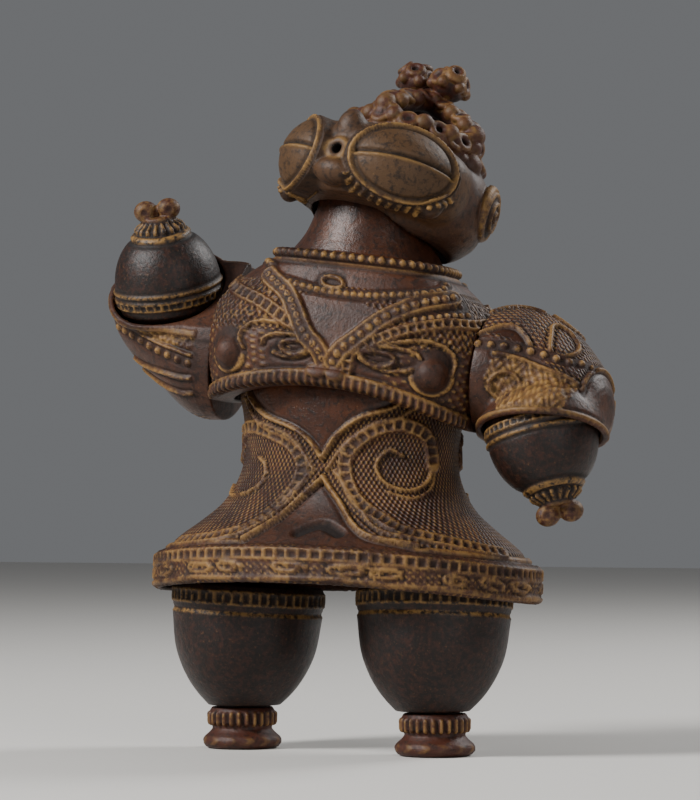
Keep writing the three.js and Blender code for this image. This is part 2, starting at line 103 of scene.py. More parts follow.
def turned(outline):
    """Signed distance, as a function of (radius, height), of a profile turned about its axis."""
    line = np.asarray(outline, float)
    r = np.arange(0, line[:, 0].max() + PROFILE_MARGIN, PROFILE_STEP)
    z = np.arange(line[:, 1].min() - PROFILE_MARGIN, line[:, 1].max() + PROFILE_MARGIN, PROFILE_STEP)
    rr, zz = np.meshgrid(r, z, indexing="ij")
    best = np.full(rr.shape, 1e9)
    inside = np.zeros(rr.shape, bool)
    for (r0, z0), (r1, z1) in zip(line[:-1], line[1:]):
        dr, dz = r1 - r0, z1 - z0
        length = dr * dr + dz * dz
        if length == 0:
            continue
        t = np.clip(((rr - r0) * dr + (zz - z0) * dz) / length, 0, 1)
        best = np.minimum(best, np.hypot(rr - r0 - t * dr, zz - z0 - t * dz))
        if dz != 0:
            crossing = r0 + (zz - z0) / dz * dr
            inside ^= ((z0 > zz) != (z1 > zz)) & (rr < crossing)
    table = np.where(inside, -best, best)

    def distance(radius, height):
        i = np.clip(radius / PROFILE_STEP, 0, len(r) - 1.001)
        j = np.clip((height - z[0]) / PROFILE_STEP, 0, len(z) - 1.001)
        i0, j0 = i.astype(int), j.astype(int)
        fi, fj = i - i0, j - j0
        low = table[i0, j0] * (1 - fi) + table[i0 + 1, j0] * fi
        high = table[i0, j0 + 1] * (1 - fi) + table[i0 + 1, j0 + 1] * fi
        return low * (1 - fj) + high * fj

    return distance


def ball(p, at, radii, matrix=None):
    """A ball or egg round a place, or round the origin of a placement and turned with it."""
    q = back(matrix, p) if matrix is not None else p - np.asarray(at, float)
    radii = np.broadcast_to(np.asarray(radii, float), (3,))
    near = np.sqrt(((q / radii) ** 2).sum(1))
    return near * (near - 1) / np.maximum(np.sqrt(((q / radii**2) ** 2).sum(1)), 1e-6)


OUTSIDE = 2.5  # how far round its box a shape is still worked out


def within(p, low, high, shape):
    """A shape that is only worked out in and near its box, to save time."""
    out = np.full(len(p), OUTSIDE)
    near = ((p > np.asarray(low) - OUTSIDE) & (p < np.asarray(high) + OUTSIDE)).all(1)
    if near.any():
        out[near] = shape(p[near])
    return out


def smooth_path(points, spacing=0.5):
    """A dense line through the points, rounded like a spline."""
    points = np.asarray(points, float)
    ends = np.vstack([2 * points[0] - points[1], points, 2 * points[-1] - points[-2]])
    out = []
    for k in range(1, len(ends) - 2):
        a, b, c, d = ends[k - 1 : k + 3]
        count = max(2, int(np.linalg.norm(c - b) / spacing))
        t = np.linspace(0, 1, count, endpoint=False)[:, None]
        square, cube = 2 * a - 5 * b + 4 * c - d, 3 * b - a - 3 * c + d
        out.append(0.5 * (2 * b + (c - a) * t + square * t**2 + cube * t**3))
    return np.vstack(out + [points[-1:]])


def along(path, p, reach):
    """How far each point is from a line, and how far along the line its nearest place is."""
    away = np.full(len(p), 1e3)
    length = np.zeros(len(p))
    start = 0.0
    for a, b in zip(path[:-1], path[1:]):
        step = b - a
        size = np.linalg.norm(step)
        if size == 0:
            continue
        near = ((p > np.minimum(a, b) - reach) & (p < np.maximum(a, b) + reach)).all(1).nonzero()[0]
        if len(near):
            q = p[near] - a
            t = np.clip(q @ step / size**2, 0, 1)
            gap = np.linalg.norm(q - t[:, None] * step, axis=1)
            closer = gap < away[near]
            away[near[closer]] = gap[closer]
            length[near[closer]] = start + t[closer] * size
        start += size
    return away, length


# ---- skin of a shape ---------------------------------------------------------------------------

BLOCK = 6  # cubes along a block; only the blocks near the skin are worked out in full
BLOCK_REACH = 1.9  # a block is near if its middle is within this many blocks of the skin
AT_ONCE = 400000  # points worked out at a time, to spare memory


def surface(shape, low, high, step):
    """The skin of a shape as points and four-sided faces, one point in each small cube it passes through."""
    low, high = np.asarray(low, float), np.asarray(high, float)
    count = np.ceil((high - low) / step / BLOCK).astype(int) * BLOCK
    blocks = count // BLOCK
    middles = [low[i] + (np.arange(blocks[i]) + 0.5) * BLOCK * step for i in range(3)]
    centres = np.stack(np.meshgrid(*middles, indexing="ij"), -1)
    rough = shape(centres.reshape(-1, 3)).reshape(blocks)
    values = np.where(rough < 0, -1.0, 1.0)
    for axis in range(3):
        values = values.repeat(BLOCK, axis)
    close = np.abs(rough) < BLOCK * step * BLOCK_REACH
    for axis in range(3):
        close = close.repeat(BLOCK, axis)
    spots = np.argwhere(close)
    for start in range(0, len(spots), AT_ONCE):
        some = spots[start : start + AT_ONCE]
        values[tuple(some.T)] = shape(low + some * step)
    inside = values < 0
    corners = [(i, j, k) for i in (0, 1) for j in (0, 1) for k in (0, 1)]
    cells = np.array(inside.shape) - 1
    total = np.zeros(cells, np.int8)
    for i, j, k in corners:
        total += inside[i : i + cells[0], j : j + cells[1], k : k + cells[2]]
    crossed = (total > 0) & (total < 8)
    number = np.full(cells, -1)
    spots = np.argwhere(crossed)
    number[tuple(spots.T)] = np.arange(len(spots))
    middle, hits = np.zeros((len(spots), 3)), np.zeros(len(spots))
    for axis in range(3):
        for other in [c for c in corners if c[axis] == 0]:
            step_on = np.eye(3, dtype=int)[axis]
            a = values[tuple((spots + other).T)]
            b = values[tuple((spots + other + step_on).T)]
            crossing = (a < 0) != (b < 0)
            t = a / np.where(crossing, a - b, 1)
            middle[crossing] += (np.asarray(other) + t[:, None] * step_on)[crossing]
            hits[crossing] += 1
    points = low + (spots + middle / hits[:, None]) * step
    faces = []
    for axis in range(3):
        u, v = (axis + 1) % 3, (axis + 2) % 3
        first = np.argwhere(np.diff(inside, axis=axis))
        first = first[((first[:, [u, v]] > 0) & (first[:, [u, v]] < cells[[u, v]])).all(1)]
        outward = inside[tuple(first.T)]
        quad = []
        for du, dv in ((1, 1), (0, 1), (0, 0), (1, 0)):
            cell = first.copy()
            cell[:, u] -= du
            cell[:, v] -= dv
            quad.append(number[tuple(cell.T)])
        quad = np.stack(quad, 1)
        quad[~outward] = quad[~outward][:, ::-1]
        faces.append(quad)
    return points, np.vstack(faces)


SETTLE_TIMES, PROBE, LONGEST_MOVE = 2, 0.06, 0.15
FLATTEST = 0.2  # slope below which a distance is no longer trusted
SPREAD = np.array([[1, -1, -1], [-1, -1, 1], [-1, 1, -1], [1, 1, 1]], float)  # where the slope is probed


def settle(shape, points):
    """Moves the points onto the shape's skin and gives their outward directions."""
    for turn in range(SETTLE_TIMES + 1):
        samples = [shape(points + PROBE * s) for s in SPREAD]
        slope = sum(s * d[:, None] for s, d in zip(SPREAD, samples)) / (4 * PROBE)
        size = np.maximum(np.linalg.norm(slope, axis=1), FLATTEST)[:, None]
        if turn == SETTLE_TIMES:
            return points, slope / size
        move = slope / size**2 * (sum(samples) / 4)[:, None]
        far = np.linalg.norm(move, axis=1)[:, None]
        points = points - move * np.minimum(1, LONGEST_MOVE / np.maximum(far, 1e-9))


def make_piece(node, shape, box, step, matrix, relief, material):
    """Skins a shape, carves and paints it, and puts it in its place over the solid of the same name."""
    points, faces = surface(shape, *box, step)
    if np.linalg.det(matrix[:3, :3]) < 0:  # a mirrored placement turns faces inside out
        faces = faces[:, ::-1]
    points, out = settle(shape, points)
    height, paint = relief(points, out)
    points = points + out * height[:, None]
    mesh = bpy.data.meshes.new(node)
    mesh.vertices.add(len(points))
    mesh.vertices.foreach_set("co", (carry(matrix, points) * MM).astype(np.float32).ravel())
    mesh.loops.add(faces.size)
    mesh.loops.foreach_set("vertex_index", faces.astype(np.int32).ravel())
    mesh.polygons.add(len(faces))
    mesh.polygons.foreach_set("loop_start", np.arange(0, faces.size, 4, dtype=np.int32))
    mesh.update(calc_edges=True)
    mesh.shade_smooth()
    for name, values in paint.items():
        mesh.attributes.new(name, "FLOAT", "POINT").data.foreach_set("value", values.astype(np.float32))
    mesh.materials.append(material)
    piece = bpy.data.objects.new("shown_" + node, mesh)
    bpy.context.scene.collection.objects.link(piece)
    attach(piece, "root")
    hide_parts(node)


# ---- places of the mouldings -------------------------------------------------------------------

ANKLE_HEIGHT = 7.6
RIGHT_FOOT = (-21.5, 1.2)
LEFT_FOOT = (17.4, -3.0)
HIPS = place(np.array([-1, 0, 26.6]) + SHIFT, (-3.3, 1.3, 0))
CHEST = place(np.array([0, 0, 60.8]) + SHIFT, (-2, 7, 5))
HEAD = place(np.array([7.1, 1, 101.4]) + SHIFT, (-20, 8, -10))
HALF_SPAN = 24.0

# ---- hips --------------------------------------------------------------------------------------

HEM_WIDTH, HEM_DEPTH, HEM_HEIGHT, HEM_ARCH = 35.4, 24.2, 6.6, 1.7
BELLY = [  # height, half width, half depth
    (6.6, 33.8, 23.0),
    (9.3, 30.9, 20.4),
    (12, 27.2, 17.9),
    (15.6, 23.2, 15.7),
    (21, 20.2, 13.9),
    (26, 19.5, 13.4),
    (31, 20.1, 13.7),
    (35.4, 21.0, 13.8),
    (39.4, 20.2, 12.9),
]
belly_size = smooth_table(BELLY)


def hem_lift(x, height):
    """How far the hem arches up towards the middle."""
    return HEM_ARCH * (1 - smoothstep(height, HEM_HEIGHT, 20)) * np.clip(1 - (x / HEM_WIDTH) ** 2, 0, 1)


def belly_place(degrees, height):
    width, depth = belly_size(height)
    a = np.radians(degrees)
    x = width * np.sin(a)
    return np.stack([x, -depth * np.cos(a), height + hem_lift(x, height)], -1)


def belly_rows():
    heights = np.arange(HEM_HEIGHT, 39.5, 0.5)
    return [(w, h) for w, h in zip(belly_size(heights)[0], heights)]


hips_profile = turned(
    [(0, 3.7), (33.9, 3.7), (33.9, 0.3), (34.2, 0), (34.8, 0.1), (35.4, 0.9), (35.4, 5.6), (35.1, 6.3)]
    + [(34.3, HEM_HEIGHT)]
    + belly_rows()
    + [(19.3, 40.2), (17.2, 40.9), (12, 41.1), (0, 41.2)]
)


def hips_shape(p):
    x, y, z = p.T
    reach = np.hypot(x, y)
    z = z - hem_lift(x, z) * np.clip(reach / 8, 0, 1)
    width, depth = belly_size(z)
    squash = np.where(z > HEM_HEIGHT, width / depth, HEM_WIDTH / HEM_DEPTH)
    return hips_profile(np.hypot(x, y * squash), z) * 0.85


# ---- chest -------------------------------------------------------------------------------------

BARREL = [  # height, half width, half depth; the neck in the same way
    (-3.2, 23.0, 14.4),
    (-2.6, 24.5, 15.7),
    (-1.0, 24.7, 15.9),
    (-0.4, 24.3, 15.4),
    (4, 25.6, 15.8),
    (9, 26.4, 15.8),
    (14, 25.5, 15.0),
    (18.5, 22.0, 13.5),
    (21.6, 18.2, 12.6),
    (23.2, 15.6, 12.3),
    (23.6, 15.9, 12.9),
    (24.6, 15.5, 12.6),
]
NECK = [(24.8, 13.6, 11.5), (28, 11.5, 10.4), (31, 10.4, 9.7), (34.6, 9.6, 9.1)]
NECK_FROM, BELT_ARCH, SQUARENESS, CUP_GAP, NECK_GAP = 24.7, 4.8, 0.09, 1.1, 0.9
barrel_size = smooth_table(BARREL)
neck_size = smooth_table(NECK)


def belt_lift(x, height):
    return BELT_ARCH * (1 - smoothstep(height, 1, 12)) * np.clip(1 - (x / HALF_SPAN) ** 2, 0, 1)


def squareness(angle):
    """Fills out the corners of the chest, which is nearer to a box than a barrel is."""
    return 1 + SQUARENESS * np.sin(2 * angle) ** 2


def chest_place(degrees, height):
    width, depth = barrel_size(height)
    a = np.radians(degrees)
    x = np.clip(width * squareness(a) * np.sin(a), -HALF_SPAN, HALF_SPAN)
    return np.stack([x, -depth * squareness(a) * np.cos(a), height + belt_lift(x, height)], -1)


CHEST_RUNS = ((-3.2, 0, 0.15), (0, 21.6, 0.5), (21.6, 24.61, 0.2))  # from, to, step
chest_heights = np.concatenate([np.arange(*run) for run in CHEST_RUNS])
neck_heights = np.arange(24.8, 34.61, 0.5)
chest_profile = turned(
    [(0, -3.2)]
    + [(w, h) for w, h in zip(barrel_size(chest_heights)[0], chest_heights)]
    + [(w, h) for w, h in zip(neck_size(neck_heights)[0], neck_heights)]
    + [(9.4, 35.1), (8.6, 35.4), (0, 35.4)]
)
belly_room_profile = turned(
    [(0, 20), (21.3, 20)]
    + [(w + CUP_GAP, h) for w, h in belly_rows() if h > 20]
    + [(19.6, 41.0), (17, 41.4), (12.4, 41.6), (0, 41.8)]
)


def belly_room(p):
    x, y, z = p.T
    width, depth = belly_size(z)
    return belly_room_profile(np.hypot(x, y * (width + CUP_GAP) / (depth + CUP_GAP)), z)


CHEST_TO_HIPS = np.linalg.inv(HIPS) @ CHEST


def chest_shape(p):
    x, y, z = p.T
    neck = z > NECK_FROM
    z0 = z - belt_lift(x, z)
    z0 = z - belt_lift(x, z0)
    z0 = np.where(neck, z, z - belt_lift(x, z0))
    width, depth = barrel_size(z0)
    thin, deep = neck_size(z0)
    angle = np.arctan2(x, -y * width / depth)
    square = np.where(neck, 1, squareness(angle))
    squash = np.where(neck, thin / deep, width / depth)
    d = chest_profile(np.hypot(x, y * squash) / square, z0) * 0.9
    d = np.maximum(d, np.abs(x) - HALF_SPAN)
    cup = np.full(len(p), 5.0)
    low = z < 9
    cup[low] = belly_room(carry(CHEST_TO_HIPS, p[low]))
    return np.maximum(d, -cup)


# ---- arms --------------------------------------------------------------------------------------

SHOULDER_RISE, SHOULDER_BACK = 7.8, 4.5
# Degrees of turn about the shoulder, of swing and of lift; the forearm's turn and seat; the mouth's plane
RIGHT_ARM = dict(side=-1, turn=140, swing=-12, lift=4, forearm=(17, -8, 25), seat=(12.2, -0.5, -12))
LEFT_ARM = dict(side=1, turn=24, swing=-10, lift=0, forearm=(169, -12, 25), seat=(14.2, -1.1, -12.8))
RIGHT_ARM["mouth"] = place((11.6, 1.2, -9.7), (5, 2, 0))
LEFT_ARM["mouth"] = place((15.3, -1.4, -10.8), (9, -11, 0))
SLEEVE = [  # mm outward, radius, droop of the middle line
    (-5, 10.8, 0),
    (0, 11.7, 0),
    (4, 12.1, -0.1),
    (9, 12.0, -0.9),
    (13.5, 11.0, -2.2),
    (17, 9.5, -3.4),
    (20.5, 7.3, -4.7),
    (22.4, 4.8, -5.4),
]
SLEEVE_TIP, SLEEVE_DEPTH = 23, 0.95
# The sleeve is oval at the shoulder and round further out
STRETCH, STRETCH_TILT, STRETCH_FROM, STRETCH_TO = 0.26, math.radians(25), 1, 13
SLEEVE_WALL = 0.7  # least wall round a forearm's socket
EGG_BASE = -9.3
# The egg's round end as (radius, height), and the rest of it as (height, radius)
EGG_END = [(0, EGG_BASE), (2.6, -9.15), (4.6, -8.6), (6.3, -7.7), (7.4, -6.8), (8.05, -6.15)]
EGG = [(-6.0, 8.2), (-5.7, 8.8), (-2.8, 9.5), (-0.3, 9.4), (2.7, 8.7), (5.5, 7.2), (8.3, 4.4)]
egg_size = smooth_table(EGG)
egg_heights = np.arange(-6.0, 8.31, 0.35)
sleeve_size = smooth_table(SLEEVE)
sleeve_xs = np.arange(-5, 22.4, 0.4)
sleeve_profile = turned(
    [(0, -5)]
    + [(r, x) for r, x in zip(sleeve_size(sleeve_xs)[0], sleeve_xs)]
    + [(4.8, 22.4), (3.4, 22.9), (1.8, 23.0), (0, SLEEVE_TIP)]
)


def sleeve_matrix(arm):
    m = CHEST @ place((arm["side"] * (HALF_SPAN + SEAM), SHOULDER_BACK, SHOULDER_RISE))
    m = m @ place((0, 0, 0), (0, 0, arm["swing"])) @ place((0, 0, 0), (0, -arm["side"] * arm["lift"], 0))
    return m @ place((0, 0, 0), (-arm["turn"], 0, 0)) @ np.diag([arm["side"], 1, 1, 1])


def forearm_matrix(arm):
    seat = carry(sleeve_matrix(arm), np.array([arm["seat"]]))[0]
    return place(seat, arm["forearm"])


def egg_profile(grow, tip):
    stretch = 1 - grow / EGG_BASE
    body = EGG_END + [(r, h) for r, h in zip(egg_size(egg_heights)[0], egg_heights)]
    return turned([(r + grow if r else 0, h * stretch) for r, h in body] + tip)


egg_socket = egg_profile(2 * SEAM, [(0, 9)])
egg_body = egg_profile(0, [(4.3, 9.1), (3.5, 9.6), (3.0, 10.0), (2.8, 11), (0, 11.1)])


def sleeve_shape_of(arm):
    to_row = sleeve_matrix(arm)
    to_arm = np.linalg.inv(forearm_matrix(arm)) @ to_row
    to_chest = np.linalg.inv(CHEST) @ to_row
    c, s = math.cos(STRETCH_TILT), math.sin(STRETCH_TILT)

    def shape(p):
        x, y, z = p.T
        droop = sleeve_size(x)[1]
        y, z = y / SLEEVE_DEPTH, z - droop
        more = STRETCH * (1 - smoothstep(x, STRETCH_FROM, STRETCH_TO))
        way = y * c + z * s
        cut = way * more / (1 + more)
        d = sleeve_profile(np.hypot(y - cut * c, z - cut * s), x) * 0.92
        q = carry(to_arm, p)
        socket = egg_socket(np.hypot(q[:, 0], q[:, 1]), q[:, 2])
        d = merge(d, socket - SLEEVE_WALL, 1.0)
        d = np.maximum(d, -back(arm["mouth"], p)[:, 2])
        d = np.maximum(d, -socket)
        inner = carry(to_chest, p)[:, 0] * arm["side"]
        return np.maximum(d, HALF_SPAN + SEAM - inner)

    return shape


def forearm_shape(p):
    x, y, z = p.T
    d = egg_body(np.hypot(x, y), z)
    for side in (1, -1):
        d = merge(d, ball(p, (side * 2.0, 0, 12.0), (2.1, 1.8, 1.9)), 0.5)
    return d


# ---- legs and feet -----------------------------------------------------------------------------

# Height and radius, from the ankle up
LEG = [(0, 6.3), (1.6, 7.9), (3.6, 9.5), (6.4, 11.1), (10, 12.4), (15.8, 13.2)]
LEG_TOP = 21.2
leg_size = smooth_table(LEG)
leg_heights = np.arange(0, 15.9, 0.5)
leg_profile = turned(
    [(0, -2), (3.9, -2)]
    + [(r, h) for r, h in zip(leg_size(leg_heights)[0], leg_heights)]
    + [(13.2, 15.9), (12.9, 16.3), (12.9, 16.6), (13.2, 17.1), (13.35, 18.6), (13.3, 20.2), (12.9, 21)]
    + [(12.4, LEG_TOP), (0, LEG_TOP)]
)
foot_profile = turned(
    [(0, 0), (5.6, 0), (6.4, 0.3), (6.85, 0.9), (6.9, 1.5), (6.6, 2.1), (5.7, 2.9), (5.2, 3.5), (5.3, 4.0)]
    + [(5.9, 4.4), (5.95, 6.1), (5.6, 6.8), (5.3, 7.25), (0, 7.25)]
)


def leg_matrix(foot, lean, aside=0.0):
    return place(np.array([foot[0] + aside, foot[1], ANKLE_HEIGHT]) + SHIFT, lean)


def leg_shape_of(matrix):
    def shape(p):
        x, y, z = p.T
        d = leg_profile(np.hypot(x, y), z)
        return np.maximum(d, ANKLE_HEIGHT - carry(matrix, p)[:, 2])

    return shape


def foot_shape(p):
    x, y, z = p.T
    return foot_profile(np.hypot(x, y), z)


# ---- head --------------------------------------------------------------------------------------

VISOR_AT, VISOR_WIDE, VISOR_DEEP = np.array([0, -2, -2.8]), 17.4, 13.6
VISOR_RISE, VISOR_DROP, VISOR_SQUARE, VISOR_UNDER = 7.4, 8.6, 2.8, -9.8
EYE_ANGLE, EYE_HEIGHT, EYE_SLANT, EYE_LENGTH, EYE_TALL, EYE_SINK = 42.5, -3.3, 4, 10, 7, 1.2
EYE_ALONG, EYE_UP = 0.02, 0.03  # how the visor curves away behind a lens
# Share of the oval, mm proud of the visor
LENS = [(0, 3.2), (0.25, 3.12), (0.5, 2.8), (0.68, 2.32), (0.84, 1.7), (0.92, 1.25), (1.04, 1.1)]
SKULL_WIDE, SKULL_DEEP, SKULL_BACK = 16.4, 13.2, 6.2
SKULL = [  # height, half width, half depth
    (-11.8, 12.4, 9.6),
    (-10.6, 14.2, 11),
    (-8, 16.0, 12.8),
    (-3, SKULL_WIDE, SKULL_DEEP),
    (1, 15.4, 12.4),
    (4.5, 12.4, 10.2),
]
EAR_ANGLE, EAR_HEIGHT, EAR_SINK = 112, -2.6, 0.6
CROWN_AT, CROWN_RADIUS, CROWN_LIFT = np.array([0, 5, 4.4]), 11.4, 5.6
CROWN_TOP = np.array([0, 4.7, 15])
CROWN_BARS = (0, 90, 180, 270)
FINIAL_AT = CROWN_TOP + (0, 0, 2.8)


def visor_level(height):
    """The visor's reach at a height, as a share of its widest."""
    above = height - VISOR_AT[2]
    share = np.where(above > 0, above / VISOR_RISE, -above / VISOR_DROP)
    return (1 - np.clip(share, 0, 1) ** VISOR_SQUARE) ** (1 / VISOR_SQUARE)


def visor_place(degrees, height, inset=0.0):
    a = np.radians(degrees)
    level = visor_level(height)
    wide, deep = VISOR_WIDE * level - inset, VISOR_DEEP * level - inset
    return np.array([wide * np.sin(a), VISOR_AT[1] - deep * np.cos(a), height])


visor_heights = np.arange(VISOR_UNDER, 4.6, 0.2)
visor_profile = turned(
    [(0, VISOR_UNDER)]
    + [(VISOR_WIDE * visor_level(h), h) for h in visor_heights]
    + [(0, VISOR_AT[2] + VISOR_RISE)]
)
skull_size = smooth_table(SKULL)
skull_heights = np.arange(-11.8, 4.51, 0.4)
skull_profile = turned(
    [(0, -11.8)]
    + [(w, h) for w, h in zip(skull_size(skull_heights)[0], skull_heights)]
    + [(10.6, 5.5), (8, 6.3), (4, 6.8), (0, 6.9)]
)
EYES = {
    side: place(visor_place(side * EYE_ANGLE, EYE_HEIGHT, EYE_SINK), (0, -side * EYE_SLANT, side * EYE_ANGLE))
    for side in (1, -1)
}


def torus(p, at, facing, radius, thick):
    """A ring round a place, facing a direction."""
    q = p - at
    facing = np.asarray(facing, float) / np.linalg.norm(facing)
    up = q @ facing
    flat = np.linalg.norm(q - up[:, None] * facing, axis=1)
    return np.hypot(flat - radius, up) - thick


def rod(p, points, thick):
    """A round bar through the points."""
    d = np.full(len(p), 50.0)
    for a, b in zip(points[:-1], points[1:]):
        step = b - a
        t = np.clip((p - a) @ step / (step @ step), 0, 1)
        d = np.minimum(d, np.linalg.norm(p - a - t[:, None] * step, axis=1))
    return d - thick


def skull_at(degrees, height):
    a = math.radians(degrees)
    wide, deep = SKULL_WIDE - EAR_SINK, SKULL_DEEP - EAR_SINK
    return np.array([wide * math.sin(a), SKULL_BACK - deep * math.cos(a), height])


EARS = {side: place(skull_at(side * EAR_ANGLE, EAR_HEIGHT), (0, 0, side * EAR_ANGLE)) for side in (1, -1)}
NOSE = visor_place(0, -3.6, 0.1)


def on_rim(degrees, rise=0.0, out=0.0):
    """A place on the crown's rim, or above it and outside it."""
    a = math.radians(degrees)
    reach = CROWN_RADIUS + out
    return CROWN_AT + np.array([reach * math.sin(a), -reach * math.cos(a), rise])


def crown_lumps():
    """Every curl and knob of the crown: middle, the way it faces, radius, thickness."""
    curls, knobs = [], []
    for k in range(16):
        degrees = 22.5 * k
        a = math.radians(degrees)
        out = np.array([math.sin(a), -math.cos(a), 0.35 + 0.5 * (k % 2)])
        curls.append((on_rim(degrees, 0.6 + 0.9 * (k % 2), 0.6), out, 1.35, 0.72))
        knobs.append((on_rim(degrees + 11, -0.6 + 0.6 * (k % 3), 1.1), 1.1))
    for degrees in (-50, -25, 25, 90, -90, 180):
        knobs.append((on_rim(degrees, 1.7, -0.2), 1.75))
    for k, degrees in enumerate(CROWN_BARS):
        knobs.append((on_rim(degrees, CROWN_LIFT - 1, 0.2), 2.0))
        knobs.append((on_rim(degrees, CROWN_LIFT + 1.2, -2.6), 1.5))
        curls.append((on_rim(degrees + 8, CROWN_LIFT - 2.6, 0.6), on_rim(degrees) - CROWN_AT, 1.2, 0.7))
        a = math.radians(degrees)
        across = np.array([math.cos(a), math.sin(a), 0])
        path = smooth_path([on_rim(degrees, 1.5), on_rim(degrees, CROWN_LIFT, -1.4), CROWN_TOP], 2.2)
        for n, at in enumerate(path[1:-1]):
            way = 1 if (n + k) % 2 else -1
            knobs.append((at + across * 1.5 * way + (0, 0, 0.5), 1.45))
            curls.append((at - across * 1.2 * way + (0, 0, 0.9), (0, 0, 1) - 0.6 * way * across, 1.15, 0.62))
    for side in (1, -1):
        for out, rise, radius in ((12.4, -0.8, 2.3), (11.9, 2.5, 1.8), (11.7, 5.0, 1.7)):
            knobs.append((CROWN_AT + (side * out, 0, rise), radius))
    for degrees in (-68, -38, -12, 12, 38, 62):
        knobs.append((on_rim(degrees, 2.6, 0.5), 1.7))
        facing = on_rim(degrees + 13) - CROWN_AT + (0, 0, 5)
        curls.append((on_rim(degrees + 13, 2.2, 1.0), facing, 1.25, 0.66))
    for side in (1, -1):
        heart = FINIAL_AT + (side * 3.4, 0, 0.1)
        for k in range(6):
            a = math.radians(60 * k + 15 * side)
            out = np.array([math.cos(a) * 1.0, math.sin(a) * 0.95, 0.25 + 0.35 * (k % 2)])
            curls.append((heart + out * (2.7, 2.9, 2.3), out, 1.15, 0.66))
            out = np.array([math.cos(a + 0.5), math.sin(a + 0.5), -0.2])
            knobs.append((heart + out * (2.9, 3.3, 2.2), 1.05))
        curls.append((heart + (0, 0, 2.7), (0.2 * side, -0.25, 1), 1.3, 0.7))
        curls.append((heart + (side * 2.0, -1.9, 1.9), (0.7 * side, -0.8, 0.7), 1.1, 0.6))
    return curls, knobs


CURLS, CROWN_KNOBS = crown_lumps()
NECK_IN_HEAD = np.linalg.inv(CHEST) @ HEAD
neck_room_profile = turned(
    [(0, 24), (14.5, 24.5)]
    + [(neck_size(h)[0] + NECK_GAP, h) for h in np.arange(24.9, 34.7, 0.4)]
    + [(9.4, 36.3), (0, 36.3)]
)


def neck_room(p):
    """The socket under the head that the neck goes up into."""
    x, y, z = carry(NECK_IN_HEAD, p).T
    return neck_room_profile(np.hypot(x, y / 0.95), z)


def crown_shape(p):
    x, y, z = (p - CROWN_AT).T
    reach = np.hypot(x, y)
    d = np.hypot(reach - CROWN_RADIUS, z) - 1.55
    for degrees in CROWN_BARS:
        path = np.array([on_rim(degrees), on_rim(degrees, 3.2, -0.1), on_rim(degrees, CROWN_LIFT, -1.4)])
        path = smooth_path(np.vstack([path, CROWN_TOP]), 1.5)
        d = merge(d, within(p, path.min(0) - 2, path.max(0) + 2, lambda q: rod(q, path, 1.9)), 0.5)
    for side in (1, -1):
        heart = FINIAL_AT + (side * 3.3, 0, 0)
        d = merge(d, within(p, heart - 4, heart + 4, lambda q: ball(q, heart, (3.1, 3.4, 2.6))), 0.4)
    for at, facing, radius, thick in CURLS:
        size = radius + thick
        d = np.minimum(d, within(p, at - size, at + size, lambda q: torus(q, at, facing, radius, thick)))
    for at, radius in CROWN_KNOBS:
        d = merge(d, within(p, at - radius, at + radius, lambda q: ball(q, at, radius)), 0.25)
    return d


def eye_depth(p, side):
    """How far a point stands out of the visor under a lens, and its share of the oval."""
    x, y, z = back(EYES[side], p).T
    share = np.hypot(x / EYE_LENGTH, z / EYE_TALL)
    return EYE_ALONG * x * x + EYE_UP * z * z - y, share


def head_shape(p):
    x, y, z = p.T
    squash = VISOR_WIDE / VISOR_DEEP
    d = visor_profile(np.hypot(x, (y - VISOR_AT[1]) * squash), z) * 0.9
    width, depth = skull_size(z)
    skull = skull_profile(np.hypot(x, (y - SKULL_BACK) * width / depth), z) * 0.9
    d = merge(d, skull, 0.8)
    for side in (1, -1):
        out, share = eye_depth(p, side)
        lens = np.maximum(out - np.interp(share, *np.transpose(LENS)), (share - 1.04) * 7)
        lens = np.maximum(lens, -2.5 - out)
        d = merge(d, np.where(share < 1.6, lens, 4), 0.35)
        ear = EARS[side]
        at = ear[:3, 3]
        d = merge(d, within(p, at - 5, at + 5, lambda q: ball(q, None, (4.8, 2.0, 4.8), ear)), 0.4)
        at = visor_place(side * 74, -7.4, 0.8)
        d = merge(d, within(p, at - 3, at + 3, lambda q: ball(q, at, (2.2, 2.2, 3))), 0.6)
    at = visor_place(0, -7.2, 0.5)
    d = merge(d, within(p, at - 4.5, at + 4.5, lambda q: ball(q, at, (4.1, 3.0, 2.4))), 0.35)
    at = visor_place(0, 1.4, 0.4)
    d = merge(d, within(p, at - 3, at + 3, lambda q: ball(q, at, (2.4, 2.2, 3.0))), 1.2)
    d = merge(d, within(p, NOSE - 3, NOSE + 3, lambda q: torus(q, NOSE, (0, 1, 0), 1.5, 0.75)), 0.6)
    hole = NOSE + (0, -0.3, 0)
    d = np.maximum(d, -within(p, NOSE - 2, NOSE + 2, lambda q: ball(q, hole, (0.85, 2.6, 0.85))))
    d = merge(d, crown_shape(p), 0.35)
    return np.maximum(d, -neck_room(p))


# ---- carving -----------------------------------------------------------------------------------


